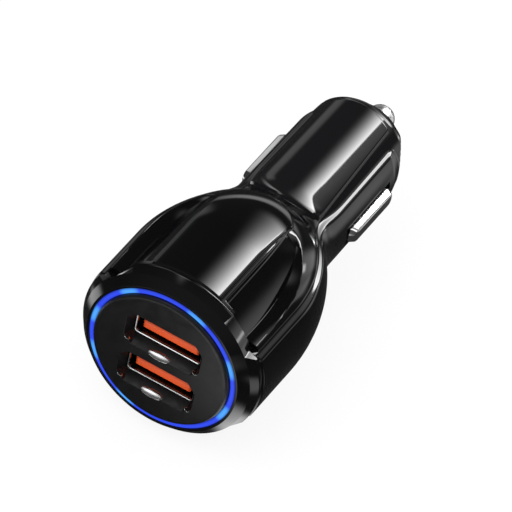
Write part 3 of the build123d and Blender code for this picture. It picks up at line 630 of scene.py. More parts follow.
def make_finishes(colours):
    """All finishes of the plug, by name."""
    black = tuple(colours.gloss_black)
    gloss = Finish("gloss black")
    gloss.set(IOR=1.5)
    # Painted shade: one black, painted darker on the head and lighter on the barrel, standing in for how
    # differently the light shows on them
    gloss.shades(gloss.along(*PAINTED_SHADE_STATIONS), tone(black, 0.5), tone(black, 1.5))
    gloss.wander(gloss.noise(160), "Roughness", 0.05, 0.075)
    finishes["gloss_black"] = gloss.material
    cap = Finish("cap black")
    drift = cap.noise(500)
    cap.shades(drift, tone(black, 0.9), tone(black, 1.4))
    cap.wander(drift, "Roughness", 0.12, 0.2)
    finishes["cap_black"] = cap.material
    finishes["blue_light"] = glow_finish("blue light", tuple(colours.glow), tuple(colours.glow_spot))
    # Painted shade: the insulators and the port shells turn nearly black a little behind their front,
    # standing in for the shade inside the ports
    for key, base, rough, metallic, front in (
        ("orange_insulator", tuple(colours.orange), 0.45, 0.0, TONGUE_FRONT),
        ("tin_plate", tuple(colours.tin), 0.22, 1.0, MOUTH_Y),
    ):
        f = Finish(key.replace("_", " "))
        f.set(Metallic=metallic)
        f.shades(f.along(*(front + depth for depth in MOUTH_PAINTED_SHADE)), base, tone(base, 0.04))
        f.wander(f.noise(700, (1, 0.2, 1)), "Roughness", rough * 0.85, rough * 1.15)
        finishes[key] = f.material
    nickel = {"metallic": 1.0, "spread": 0.04}
    for key, base, rough, more in (
        ("face_satin", tuple(colours.face_satin), 0.4, {"grain": 700, "relief": 1e-6}),
        ("pin_nickel", tuple(colours.nickel), 0.34, nickel),
        ("nickel_plate", tuple(colours.nickel), 0.16, {**nickel, "grain": 500, "stretch": (1, 0.3, 1)}),
        ("gold_contact", (0.83, 0.62, 0.25), 0.3, {"metallic": 1.0, "spread": 0.08}),
        ("circuit_board", tuple(colours.board), 0.45, {"grain": 300, "spread": 0.3}),
        ("led_lens", (0.75, 0.82, 0.95), 0.2, {"spread": 0.05}),
        ("chip_black", (0.02, 0.02, 0.022), 0.6, {"grain": 2500, "relief": 5e-6}),
        ("ferrite", (0.06, 0.06, 0.065), 0.7, {"grain": 2500, "relief": 8e-6}),
        ("copper_wire", (0.72, 0.3, 0.12), 0.35, {"metallic": 1.0, "spread": 0.3, "stretch": (0.1, 0.1, 3)}),
        ("can_sleeve", (0.06, 0.07, 0.12), 0.35, {"spread": 0.15}),
        ("fuse_body", (0.62, 0.6, 0.55), 0.6, {"spread": 0.06}),
        ("spring_steel", (0.6, 0.6, 0.62), 0.3, {"metallic": 1.0, "spread": 0.1}),
        ("seat_brass", (0.78, 0.6, 0.28), 0.3, {"metallic": 1.0, "spread": 0.1}),
    ):
        finishes[key] = plain_finish(key.replace("_", " "), base, rough, **more)


# Housing

# Ramps: start, end and rounding
SPINE_TAPER = (-9 * MM, 1 * MM, 2 * MM)
RIDGE_RAMP = (-0.75, 0.1, 0.28)  # across a spine's edge, in widths of its bevel
DIP_RAMP = (-2.4, -1.0, 0.3)
SPINE_START_RAMP = (-0.15 * MM, 0.2 * MM, 0.1 * MM)
SOFT_RUN = 1 * MM

# Finger recesses
RECESS_WAY = math.radians(38.0)  # middle line, from the top
RECESS_REACH = 24.8 * MM
RECESS_EDGE = -6.1 * MM  # upper edge of the wall towards the spine, at the collar
RECESS_SWEEP = 7.3 * MM  # how far that edge crosses by the tip
RECESS_CURVE = 3.4  # and how late
WALL_TAPER = 0.35
WALL_ROUNDING = 0.03 * MM
PANEL_WALL = 3.75 * MM  # top of the wall towards the panel
PANEL_WALL_RAMP = (0, 0.6 * MM, 0.06 * MM)
RECESS_START_RAMP = (0.95 * MM, 1.2 * MM, 0.08 * MM)
RECESS_END_RAMP = (0, 2.0 * MM, 0.3 * MM)
FLOOR_MIDDLE = 2.2 * MM
FLOOR_SLOPE = 0.275
FLOOR_HOLLOW = 15.2
SHALLOWING = 400  # how fast a recess gets shallow as the bell falls away
SHALLOWEST = 0.15

# Runs of rows along the housing: end, steps, and how they crowd towards both ends
ROW_RUNS = (
    (HOUSING_FRONT + FRONT_CHAMFER, 3, 0),
    (HOUSING_FRONT + 1.5 * MM, 19, 0),
    (PANEL_FOOT_Y, 64, 1.5),
    (STRIP_FOOT_Y, 40, 1.6),
    (TAIL_Y, 44, 1.2),
    (STRIP_CORNER_Y, 25, 0),
    (BARREL_END_Y - END_ROUNDING, 15, 0),
)
PANEL_BOW_Y = HOUSING_FRONT + 12 * MM  # where the rows start to follow the bow of a panel
STRIP_BOW_Y = STRIP_FOOT_Y + 9 * MM  # and where they leave that of a strip
FLAT_ROUNDING = 0.15 * MM

# Columns between the feature lines of a quarter, and how they crowd towards them
COLUMN_COUNTS = (18, 40, 18, 16, 18, 12)
COLUMN_PULL = 1.9

# Inside of the half shells
NOSE_RADIUS = 5.05 * MM
NOSE_BORE = 4.3 * MM
HEAD_WALL = 2.85 * MM
BARREL_WALL = 1.4 * MM
LEDGE_WIDTH = 1 * MM
NECK_CAVITY = ((9.1, -6), (10.6, -9.5), (12.3, -15), (13.1, -20))  # radius and station in mm
END_STEPS = 8

# Slots of the side contacts, and the scoops over the collar
SLOT_GAP = 0.25 * MM
SLOT_DEPTH = 8 * MM
CONTACT_FOOT = 1.0 * MM
SCOOP_TURN = (34, 66)  # from the top, in degrees
SCOOP_STEPS = 65
SCOOP_RAMP = (59.0, 66, 0.8)
SCOOP_RISE = 1.9 * MM
SCOOP_RADIUS = 15.75 * MM


def bell(y, head, barrel, tip):
    """Radius of the bell and barrel at each station."""
    run = LAND_FRONT_Y - SHOULDER_Y
    turn = 2 * math.atan((head - barrel) / run)
    shoulder = run / math.sin(turn) - NECK_CURVE
    meeting = LAND_FRONT_Y - NECK_CURVE * math.sin(turn)
    round_part = head - shoulder + np.sqrt(np.maximum(shoulder**2 - (y - SHOULDER_Y) ** 2, 0))
    hollow = barrel + NECK_CURVE - np.sqrt(np.maximum(NECK_CURVE**2 - (LAND_FRONT_Y - y) ** 2, 0))
    draft = barrel - (barrel - tip) * (y - LAND_REAR_Y) / (BARREL_END_Y - LAND_REAR_Y)
    return np.select(
        [y <= SHOULDER_Y, y <= meeting, y <= LAND_FRONT_Y, y <= LAND_REAR_Y],
        [head, round_part, hollow, barrel],
        draft,
    )


def corner(x, rounding):
    """0 below 0 and x above it, with a rounded bend between them."""
    return np.where(x < -rounding, 0, np.where(x > rounding, x, (x + rounding) ** 2 / (4 * rounding)))


def soft_ramp(value, start, end, rounding):
    """Rises from 0 at start to 1 at end, straight with rounded corners."""
    return (corner(value - start, rounding) - corner(value - end, rounding)) / (end - start)


def spine_edge(y, s):
    """Half width of a spine at each station."""
    return s.spine_half + (s.spine_barrel_half - s.spine_half) * soft_ramp(y, *SPINE_TAPER)


def strip_edge(y, s):
    """Half width of a barrel strip at each station."""
    share = np.clip((y - STRIP_FOOT_Y) / (STRIP_CORNER_Y - STRIP_FOOT_Y), 0, 1)
    return s.strip_half + (s.strip_end_half - s.strip_half) * share


def band_heights(y, x, z, s):
    """Share of the full step at each point (panels, strips and spines), and of the dip beside a spine."""
    bow = (s.panel_half**2 + s.panel_arch**2) / (2 * s.panel_arch)
    bow_y = PANEL_FOOT_Y + s.panel_arch - bow
    panel = np.minimum(s.panel_half - np.abs(x), np.where(y > bow_y, bow - np.hypot(x, y - bow_y), FAR))
    bow = (s.strip_half**2 + s.strip_arch**2) / (2 * s.strip_arch)
    bow_y = STRIP_FOOT_Y - s.strip_arch + bow
    strip = np.minimum(strip_edge(y, s) - np.abs(x), np.where(y < bow_y, bow - np.hypot(x, y - bow_y), FAR))
    bow = (s.strip_end_half**2 + s.strip_end_arch**2) / (2 * s.strip_end_arch)
    bow_y = STRIP_CORNER_Y + s.strip_end_arch - bow
    strip = np.minimum(strip, np.where(y > bow_y, bow - np.hypot(x, y - bow_y), FAR))
    across = np.abs(z) - (spine_edge(y, s) - s.spine_corner)
    along = y - (SPINE_END_Y - s.spine_corner)
    spine = np.where(
        (across > 0) & (along > 0),
        s.spine_corner - np.hypot(across, along),
        np.minimum(s.spine_corner - across, s.spine_corner - along),
    )
    half_edge = s.edge_width / 2
    flat = soft_ramp(np.maximum(panel, strip), -half_edge, half_edge, half_edge * 0.6)
    on_head = soft_ramp(-y, -LAND_FRONT_Y, -SHOULDER_Y, SOFT_RUN)
    bevel = s.spine_barrel_bevel + (s.spine_bevel - s.spine_barrel_bevel) * on_head
    ridge = soft_ramp(spine / bevel, *RIDGE_RAMP)
    dip = soft_ramp(spine / bevel, *DIP_RAMP) * (1 - ridge) * on_head
    ridge = ridge * soft_ramp(y - SPINE_FRONT_Y, *SPINE_START_RAMP)
    ridge = ridge * soft_ramp(SPINE_END_Y - y, -0.3 * MM, s.spine_roll, 0.5 * MM)
    return np.maximum(flat, ridge), dip


def recess_share(y):
    """How far along a finger recess each station lies."""
    return np.clip((y - HOUSING_FRONT) / RECESS_REACH, 0, 1)


def recess_top(share):
    """Upper edge of the wall towards the spine, off the recess's middle line."""
    return RECESS_EDGE + RECESS_SWEEP * share**RECESS_CURVE


def recess_floor(y, angle, base, s):
    """How far each point of the base sinks into a finger recess."""
    along = y - HOUSING_FRONT
    aside = base * np.sin(RECESS_WAY - angle)
    share = recess_share(y)
    wall = s.recess_wall * (1 - WALL_TAPER * share)
    into = soft_ramp(aside - recess_top(share), 0, wall, WALL_ROUNDING)
    into = np.minimum(into, soft_ramp(PANEL_WALL - aside, *PANEL_WALL_RAMP))
    into = into * soft_ramp(along, *RECESS_START_RAMP)
    into = into * soft_ramp(RECESS_REACH - along, *RECESS_END_RAMP)
    off_panel = FLOOR_MIDDLE - aside
    depth = s.recess_depth + FLOOR_SLOPE * off_panel - FLOOR_HOLLOW * off_panel**2
    fall = s.head_radius - s.head_step - base
    return into * depth * np.clip(1 - SHALLOWING * fall, SHALLOWEST, 1)


def spread(count, pull):
    """Steps from 0 to 1, closer together at both ends, or even where there is no pull."""
    u = np.linspace(0, 1, count + 1)
    return 0.5 * (1 + np.tanh(pull * (2 * u - 1)) / math.tanh(pull)) if pull else u


def housing_rows():
    """Stations of the outer rows, closer together where a band or a recess starts or ends."""
    start = HOUSING_FRONT
    rows = []
    for end, steps, pull in ROW_RUNS:
        rows.append(start + (end - start) * spread(steps, pull)[:-1])
        start = end
    return np.concatenate(rows)


def quadrant_columns():
    """Segment and share of each column between two feature lines, from the top to the parting line."""
    columns = []
    for segment, count in enumerate(COLUMN_COUNTS):
        columns += [(segment, share) for share in spread(count, COLUMN_PULL)[:-1]]
    columns.append((len(COLUMN_COUNTS) - 1, 1.0))
    return columns


def feature_angles(y, s):
    """Angles of the feature lines at each station, from the top to the parting line."""
    outer = bell(y, s.head_radius, s.barrel_radius, s.barrel_radius - s.barrel_draft)
    on_barrel = soft_ramp(y, PANEL_FOOT_Y, STRIP_FOOT_Y, SOFT_RUN)
    edge = s.panel_half + (strip_edge(y, s) - s.panel_half) * on_barrel
    panel = np.arcsin(np.clip(edge / outer, -1, 1))
    spine = np.arccos(np.clip(spine_edge(y, s) / outer, -1, 1))
    share = recess_share(y)
    wall_top = RECESS_WAY - recess_top(share) / outer
    wall_foot = wall_top - s.recess_wall * (1 - WALL_TAPER * share) / outer
    # The lines keep at least a small share of the gap apart
    gap = spine - panel
    low = panel + gap * 0.12
    high = spine - gap * 0.1
    wall_foot = np.clip(wall_foot, low, high - gap * 0.12)
    wall_top = np.clip(wall_top, wall_foot + gap * 0.1, high)
    foot = spine - s.spine_bevel * (1 - on_barrel) / outer - gap * 0.03 * on_barrel
    wall_top = np.minimum(wall_top, foot - gap * 0.02)
    wall_foot = np.minimum(wall_foot, wall_top - gap * 0.03)
    quarter = np.full_like(y, math.pi / 2)
    return np.stack([np.zeros_like(y), panel, wall_foot, wall_top, foot, spine, quarter])


def outer_points(s):
    """Points of the outside of one quarter, rows by columns, as y, radius and angle."""
    rows = housing_rows()
    columns = quadrant_columns()
    shift_head = soft_ramp(rows, PANEL_BOW_Y, PANEL_FOOT_Y, SOFT_RUN)
    shift = np.where(
        rows <= PANEL_FOOT_Y,
        shift_head * s.panel_arch,
        s.panel_arch
        - (s.panel_arch + s.strip_arch) * (rows - PANEL_FOOT_Y) / (STRIP_FOOT_Y - PANEL_FOOT_Y),
    )
    behind = 1 - soft_ramp(rows, STRIP_FOOT_Y, STRIP_BOW_Y, SOFT_RUN)
    shift = np.where(rows > STRIP_FOOT_Y, -s.strip_arch * behind, shift)
    ends = (TAIL_Y, STRIP_CORNER_Y, BARREL_END_Y - END_ROUNDING)
    shift = shift + np.interp(rows, ends, (0, s.strip_end_arch, 0))
    y = np.zeros((len(rows), len(columns)))
    angle = np.zeros_like(y)
    for j, (segment, share) in enumerate(columns):
        across = share if segment == 0 else 1.0
        y[:, j] = rows + shift * (1 - across**2)
        lines = feature_angles(y[:, j], s)
        angle[:, j] = lines[segment] + share * (lines[segment + 1] - lines[segment])
    tip = s.barrel_radius - s.barrel_draft
    outer = bell(y, s.head_radius, s.barrel_radius, tip)
    base = bell(y, s.head_radius - s.head_step, s.barrel_radius - s.barrel_step, tip - s.barrel_step)
    height, dip = band_heights(y, outer * np.sin(angle), outer * np.cos(angle), s)
    radius = base + (outer - base) * height - s.spine_foot * dip
    sink = recess_floor(y, angle, base, s)
    radius = radius - sink * (1 - height)
    chamfer = np.clip(FRONT_CHAMFER - (y - HOUSING_FRONT), 0, FRONT_CHAMFER)
    return y, radius - chamfer, angle


def inner_profile(s):
    """Radius and station of the rest of a half shell's section, from the tip back to the front."""
    tip = s.barrel_radius - s.barrel_draft - s.barrel_step
    points = []
    for step in range(END_STEPS + 1):
        turn = math.radians(90) * step / END_STEPS
        reach = END_ROUNDING * (1 - math.cos(turn))
        points.append((tip - reach, BARREL_END_Y - END_ROUNDING * (1 - math.sin(turn))))
    cavity = s.head_radius - s.head_step - HEAD_WALL
    barrel_cavity = s.barrel_radius - s.barrel_step - BARREL_WALL
    points += [(NOSE_RADIUS, BARREL_END_Y), (NOSE_RADIUS, NOSE_END), (NOSE_BORE, NOSE_END)]
    points += [(NOSE_BORE, END_WALL_Y), (barrel_cavity, END_WALL_Y), (barrel_cavity, LAND_FRONT_Y - 1 * MM)]
    points += [(radius * MM, station * MM) for radius, station in NECK_CAVITY]
    points += [(cavity - LEDGE_WIDTH, LEDGE_Y), (cavity, LEDGE_Y), (cavity, HOUSING_FRONT)]
    points += [(SPIGOT_BORE, HOUSING_FRONT), (SPIGOT_BORE, SPIGOT_FRONT), (SPIGOT_RADIUS, SPIGOT_FRONT)]
    points += [(SPIGOT_RADIUS, HOUSING_FRONT)]
    return points


def half_shell(name, s, way):
    """Upper (way 1) or lower (way -1) half of the housing as a closed mesh, before its slots."""
    y, radius, angle = outer_points(s)
    rest = inner_profile(s)
    columns = y.shape[1]
    full_y = np.vstack([y] + [np.full((1, columns), p[1]) for p in rest])
    full_r = np.vstack([radius] + [np.full((1, columns), p[0]) for p in rest])
    # The columns of the inside turn from those of the barrel's end to those of the front
    back_to_front = np.linspace(0, 1, len(rest))[:, None]
    blend = np.clip((back_to_front - 0.45) * 3, 0, 1)
    rest_angle = angle[-1][None, :] * (1 - blend) + angle[0][None, :] * blend
    full_a = np.vstack([angle, rest_angle])
    full_y = np.hstack([full_y[:, :0:-1], full_y])
    full_r = np.hstack([full_r[:, :0:-1], full_r])
    full_a = np.hstack([-full_a[:, :0:-1], full_a])
    count, wide = full_y.shape
    points = np.stack([full_r * np.sin(full_a), full_y, way * full_r * np.cos(full_a)], axis=-1)
    edge_columns = (0, wide - 1)
    for column in edge_columns:
        points[:, column, 2] = 0.0
    flat = np.clip(points[..., 1], SIDE_BEVEL_Y, BARREL_END_Y) - SIDE_BEVEL_Y
    limit = s.barrel_radius - s.barrel_draft - s.side_bevel * flat / (BARREL_END_Y - SIDE_BEVEL_Y)
    over = corner(np.abs(points[..., 0]) - limit, FLAT_ROUNDING)
    points[..., 0] -= np.sign(points[..., 0]) * np.where(points[..., 1] > SIDE_BEVEL_Y, over, 0)
    points = points.reshape(-1, 3)
    i, j = np.meshgrid(np.arange(count), np.arange(wide - 1), indexing="ij")
    here = (i * wide + j).ravel()
    ahead = (((i + 1) % count) * wide + j).ravel()
    faces = np.stack([here, here + 1, ahead + 1, ahead], axis=1).tolist()
    for column in edge_columns:
        faces.append([row * wide + column for row in range(count)])
    piece = new_piece(name, points, faces)
    close_mesh(piece)
    return piece


def cut_away(piece, cutter):
    """Takes a cutter's form out of a piece and removes the cutter."""
    cut = piece.modifiers.new("cut", "BOOLEAN")
    cut.operation = "DIFFERENCE"
    cut.solver = "EXACT"
    cut.object = cutter
    settle(piece)
    bpy.data.objects.remove(cutter)


def cut_slots(piece):
    """Cuts the slots of the side contacts."""
    for node in ("left_contact", "right_contact"):
        low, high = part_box(node)
        long = high.y - low.y - 2 * CONTACT_FOOT + 2 * SLOT_GAP
        size = (SLOT_DEPTH, long, high.z - low.z + 2 * SLOT_GAP, 1)
        middle = Vector(((low.x + high.x) / 2, (low.y + high.y) / 2, 0))
        bpy.ops.mesh.primitive_cube_add(size=1)
        cutter = bpy.context.object
        cutter.data.transform(Matrix.Translation(middle) @ Matrix.Diagonal(size))
        cut_away(piece, cutter)


def cut_scoops(piece, s):
    """Cuts the four scoops that carry the finger recesses over the collar; each rises again at its foot."""
    inside, front = COLLAR_RADIUS - s.crest_inset, RING_FRONT + s.crest_setback
    outside = COLLAR_RADIUS + 3 * MM
    turns = np.radians(np.linspace(*SCOOP_TURN, SCOOP_STEPS))
    rises = soft_ramp(np.degrees(turns), *SCOOP_RAMP) * SCOOP_RISE
    points = []
    faces = []
    for side, way in ((1, 1), (1, -1), (-1, 1), (-1, -1)):
        first = len(points)
        for a, rise in zip(turns, rises):
            section = (
                (inside + rise, front),
                (SCOOP_RADIUS + rise, SCOOP_END_Y),
                (outside, SCOOP_END_Y),
                (outside, front),
            )
            points += [(side * r * math.sin(a), y, way * r * math.cos(a)) for r, y in section]
        for here in range(first, len(points) - 4, 4):
            around = [(here + k, here + (k + 1) % 4) for k in range(4)]
            faces += [(a, b, b + 4, a + 4) for a, b in around]
        faces += [tuple(range(first, first + 4)), tuple(range(len(points) - 4, len(points)))]
    cutter = new_piece("scoops", points, faces)
    close_mesh(cutter)
    cut_away(piece, cutter)


# Turned pieces


def rounded(corners, segments=5):
    """A closed profile from corners (radius, station, rounding)."""
    points = []
    total = len(corners)
    for k in range(total):
        here = Vector(corners[k][:2])
        before = Vector(corners[k - 1][:2])
        after = Vector(corners[(k + 1) % total][:2])
        rounding = corners[k][2]
        to_before = (before - here).normalized()
        to_after = (after - here).normalized()
        if rounding <= 0:
            points.append(here)
            continue
        bend = to_before.angle(to_after)
        reach = rounding / math.tan(bend / 2)
        middle = here + (to_before + to_after).normalized() * (rounding / math.sin(bend / 2))
        first = here + to_before * reach - middle
        last = here + to_after * reach - middle
        sweep = first.angle_signed(last)
        for step in range(segments + 1):
            turn = -sweep * step / segments
            points.append(middle + Matrix.Rotation(turn, 2) @ first)
    return points


def outline(half_wide, half_high, rounding, steps=6):
    """Points of a rectangle with rounded corners."""
    points = []
    for turn, side, way in ((0, 1, 1), (90, -1, 1), (180, -1, -1), (270, 1, -1)):
        for k in range(steps + 1):
            a = math.radians(turn + 90 * k / steps)
            points.append((
                side * (half_wide - rounding) + rounding * math.cos(a),
                way * (half_high - rounding) + rounding * math.sin(a),
            ))
    return points


def lofted(name, sections, ring=False):
    """A closed piece through sections of equally many points; a ring joins the last one to the first."""
    count = len(sections[0])
    points = [p for section in sections for p in section]
    faces = []
    for row in range(len(sections) if ring else len(sections) - 1):
        here, ahead = row * count, ((row + 1) % len(sections)) * count
        around = [(k, (k + 1) % count) for k in range(count)]
        faces += [(here + a, here + b, ahead + b, ahead + a) for a, b in around]
    if not ring:
        faces += [tuple(range(count)), tuple(range(len(points) - count, len(points)))]
    piece = new_piece(name, points, faces)
    close_mesh(piece)
    return piece


def joined(piece, *others):
    """Joins other pieces to a piece."""
    with bpy.context.temp_override(active_object=piece, selected_editable_objects=[piece, *others]):
        bpy.ops.object.join()
    return piece


def turned_piece(name, profile, tree, steps, material):
    """A closed profile turned about the plug's axis by the turning tree."""
    points = [(p[0], p[1], 0) for p in profile]
    points.append(points[0])
    mesh = bpy.data.meshes.new(name)
    mesh.from_pydata(points, [(k, k + 1) for k in range(len(points) - 1)], [])
    piece = bpy.data.objects.new(name, mesh)
    bpy.context.scene.collection.objects.link(piece)
    tree.grow(piece, Steps=steps, Material=material)
    close_mesh(piece, MERGE_GAP)
    smooth(piece)
    return piece


trees = {}

# Collar, ring, plate and lamps
RING_STEP = 0.4 * MM  # from the ring's flange in to its front
RING_WIDTH = 1.0 * MM
LIP_DEPTH = 0.75 * MM
PLATE_ROUNDING = 0.07 * MM
LAMP_COUNT = 8
LAMP_START = math.radians(24)
LAMP_INSET = 0.9 * MM
HOUSING_SHARP = 38  # degrees past which an edge stays sharp


class PLUG_OT_finishes(bpy.types.Operator):
    """Mix the finishes and set up the node trees"""

    bl_idname = "plug.finishes"
    bl_label = "Finishes"

    def execute(self, context):
        make_finishes(context.scene.charger_plug.finish)
        trees["turned"] = turning_tree()
        trees["lamps"] = lamp_tree()
        trees["strips"] = strip_tree()
        trees["spring"] = spring_tree()
        return {"FINISHED"}


class PLUG_OT_housing(bpy.types.Operator):
    """Mould the two halves of the bell housing with their bands and finger recesses"""

    bl_idname = "plug.housing"
    bl_label = "Housing"

    def execute(self, context):
        sizes = context.scene.charger_plug.housing
        front = context.scene.charger_plug.front
        for name, node, way in (("upper_half", "upper_shell", 1), ("lower_half", "lower_shell", -1)):
            piece = half_shell(name, sizes, way)
            cut_slots(piece)
            cut_scoops(piece, front)
            smooth(piece, HOUSING_SHARP)
            dress(piece, "plug", "gloss_black", finishes["gloss_black"], node)
        return {"FINISHED"}


class PLUG_OT_front(bpy.types.Operator):
    """Turn the collar and the light ring and round the edges of the face plate"""

    bl_idname = "plug.front"
    bl_label = "Collar, ring and plate"

    def execute(self, context):
        s = context.scene.charger_plug.front
        ring_outer = RING_FLANGE_RADIUS - RING_STEP
        lip_radius = ring_outer + FIT_GAP
        bore = RING_FLANGE_RADIUS + FIT_GAP
        rim = lip_radius + s.rim_width
        edge = s.edge_radius
        lip_rear = RING_FRONT + LIP_DEPTH
        socket_front = SPIGOT_FRONT - FIT_GAP
        collar = rounded(
            [
                (rim, RING_FRONT, edge),
                (lip_radius, RING_FRONT, edge),
                (lip_radius, lip_rear, 0),
                (bore, lip_rear, 0),
                (bore, socket_front, 0),
                (SOCKET_RADIUS, socket_front, 0),
                (SOCKET_RADIUS, HOUSING_FRONT, 0),
                (COLLAR_RADIUS, HOUSING_FRONT, 0.25 * MM),
                (COLLAR_RADIUS, HOUSING_FRONT - s.collar_band, 0.6 * MM),
                (COLLAR_RADIUS - s.crest_inset, RING_FRONT + s.crest_setback, 0.8 * MM),
            ]
        )
        piece = turned_piece("collar", collar, trees["turned"], s.turn_segments, finishes["gloss_black"])
        cut_scoops(piece, s)
        smooth(piece)
        dress(piece, "plug", "gloss_black", finishes["gloss_black"], "front_bezel")
        ring_inner = ring_outer - RING_WIDTH
        ring = rounded(
            [
                (ring_inner, RING_FRONT, 0.3 * MM),
                (ring_outer, RING_FRONT, 0.3 * MM),
                (ring_outer, lip_rear, 0),
                (RING_FLANGE_RADIUS, lip_rear, 0),
                (RING_FLANGE_RADIUS, RING_REAR, 0),
                (ring_inner, RING_REAR, 0),
            ]
        )
        piece = turned_piece("glowing_ring", ring, trees["turned"], s.turn_segments, finishes["blue_light"])
        dress(piece, "plug", "blue_light", finishes["blue_light"], "light_ring")
        piece = rounded_copy("face_plate", "port_plate", PLATE_ROUNDING)
        dress(piece, "plug", "face_satin", finishes["face_satin"], "face_plate")
        return {"FINISHED"}


class PLUG_OT_lamps(bpy.types.Operator):
    """Set the lamps round the ring"""

    bl_idname = "plug.lamps"
    bl_label = "Lamps"

    def execute(self, context):
        s = context.scene.charger_plug.front
        low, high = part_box("blue_leds")
        piece = new_piece("ring_lamps", [], [])
        trees["lamps"].grow(
            piece,
            Count=LAMP_COUNT,
            Radius=RING_FLANGE_RADIUS - LAMP_INSET,
            **{
                "Start angle": LAMP_START,
                "Lamp size": (s.lamp_width, s.lamp_length, high.y - low.y),
                "Station": (0, (low.y + high.y) / 2, 0),
            },
            Material=finishes["led_lens"],
        )
        smooth(piece)
        dress(piece, "plug", "led_lens", finishes["led_lens"], "blue_leds")
        return {"FINISHED"}


# Port shells, with a leaning lip below the mouth and a rolled tab at each lower corner
PORT_HALF_WIDE = 6.25 * MM
PORT_HALF_HIGH = 2.56 * MM
SHELL_WALL = 0.3 * MM
MOUTH_FLARE = (0.06 * MM, 0.4 * MM)
LIP_DROP = 4.0 * MM  # from the middle of a port down to its lips
LIP_PLACE = (-0.4 * MM, 0.4 * MM, 0.08 * MM)
LIP_HALF = (2.3 * MM, 0.75 * MM, 0.16 * MM)
LIP_LEAN = 28
TAB_PLACE = (6.75 * MM, 0.15 * MM, 0.95 * MM)
TAB_HALF = (0.6 * MM, 0.45 * MM, 0.12 * MM)
TAB_ROLL = 17
PORT_SHARP = 40
TONGUE_NOSE = 0.5 * MM  # length at the front of a tongue that reaches further out
TONGUE_REACH = 0.3 * MM
TONGUE_ROUNDING = 0.3 * MM
CONTACT_COUNT = 4

# Side contacts: walls that slope in, up to a rounded crest
BLADE_SLOPE = 22
BLADE_SHOULDER = 1.1 * MM
BLADE_INSET = 0.14 * MM
CREST_INSET = 0.89 * MM
CREST_ROUNDING = 0.45 * MM
END_INSET = 1.6  # how much more the ends slope in than the sides
END_ROUND = 0.8  # share of the half width that rounds the ends
BLADE_SHARP = 15


def lip(middle, sizes, lean, roll=0):
    """A rounded lip with half sizes, leaning back and rolled about the plug's axis, in degrees."""
    bpy.ops.mesh.primitive_uv_sphere_add(segments=32, ring_count=16, radius=1)
    piece = bpy.context.object
    turn = Matrix.Rotation(math.radians(lean), 4, "X") @ Matrix.Rotation(math.radians(roll), 4, "Y")
    piece.data.transform(Matrix.Translation(middle) @ turn @ Matrix.Diagonal((*sizes, 1)))
    return piece


def port_shell(name, height):
    """Folded shell of a port with the lips at its mouth."""
    outer, edge, inner = (
        outline(PORT_HALF_WIDE + wall, PORT_HALF_HIGH + wall, rounding)
        for wall, rounding in ((SHELL_WALL, 0.6 * MM), (SHELL_WALL / 2, 0.5 * MM), (0, 0.4 * MM))
    )
    sections = [
        (outer, SHELL_REAR),
        (outer, MOUTH_Y),
        (edge, MOUTH_Y + MOUTH_FLARE[0]),
        (inner, MOUTH_Y + MOUTH_FLARE[1]),
        (inner, SHELL_REAR),
    ]
    piece = lofted(name, [[(x, y, height + z) for x, z in ring] for ring, y in sections], ring=True)
    foot = Vector((0, PLATE_FRONT, height - LIP_DROP))
    lips = [lip(foot + Vector(LIP_PLACE), LIP_HALF, LIP_LEAN)]
    aside, behind, above = TAB_PLACE
    for side in (-1, 1):
        lips.append(lip(foot + Vector((side * aside, behind, above)), TAB_HALF, 0, TAB_ROLL))
    joined(piece, *lips)
    smooth(piece, PORT_SHARP)
    return piece


def reach_forward(point):
    """Moves a point at the front of a tongue nearer to the mouth."""
    if point.y < TONGUE_FRONT + TONGUE_NOSE:
        point.y -= TONGUE_REACH


def contact_blade(name, side):
    """Pressed side contact with sloping walls and round ends."""
    low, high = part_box(f"{side}_contact")
    way = -1 if side == "left" else 1
    top = max(abs(low.x), abs(high.x))
    root = min(abs(low.x), abs(high.x))
    middle = (low.y + high.y) / 2
    half_long = (high.y - low.y) / 2 - CONTACT_FOOT
    half_wide = (high.z - low.z) / 2
    rows = [(root, BLADE_INSET), (top - BLADE_SHOULDER, BLADE_INSET)]
    for a in np.radians(np.linspace(BLADE_SLOPE, 90, 8)):
        rows.append((top - CREST_ROUNDING * (1 - math.sin(a)), CREST_INSET - CREST_ROUNDING * math.cos(a)))
    sections = []
    for x, inset in rows:
        wide = half_wide - inset
        ring = outline(half_long - END_INSET * inset, wide, END_ROUND * wide, 8)
        sections.append([(way * x, middle + y, z) for y, z in ring])
    piece = lofted(name, sections)
    smooth(piece, BLADE_SHARP)
    return piece


class PLUG_OT_ports(bpy.types.Operator):
    """Fold the port shells, mould the insulators and lay the contact strips"""

    bl_idname = "plug.ports"
    bl_label = "USB ports"

    def execute(self, context):
        s = context.scene.charger_plug.front
        for level, height in (("upper", PORT_HEIGHT), ("lower", -PORT_HEIGHT)):
            piece = port_shell(f"port_shell_{level}", height)
            dress(piece, "plug", "tin_plate", finishes["tin_plate"], f"usb_shell_{level}")
            names = (f"usb_tongue_{level}", f"port_tongue_{level}")
            piece = rounded_copy(*names, TONGUE_ROUNDING, 4, reach_forward)
            dress(piece, "plug", "orange_insulator", finishes["orange_insulator"], f"usb_tongue_{level}")
            low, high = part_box(f"usb_pins_{level}")
            piece = new_piece(f"port_contacts_{level}", [], [])
            trees["strips"].grow(
                piece,
                Count=CONTACT_COUNT,
                Pitch=s.strip_pitch,
                Middle=(low + high) / 2,
                Material=finishes["gold_contact"],
                **{"Strip size": (s.strip_width, high.y - low.y, high.z - low.z)},
            )
            dress(piece, "plug", "gold_contact", finishes["gold_contact"], f"usb_pins_{level}")
        return {"FINISHED"}


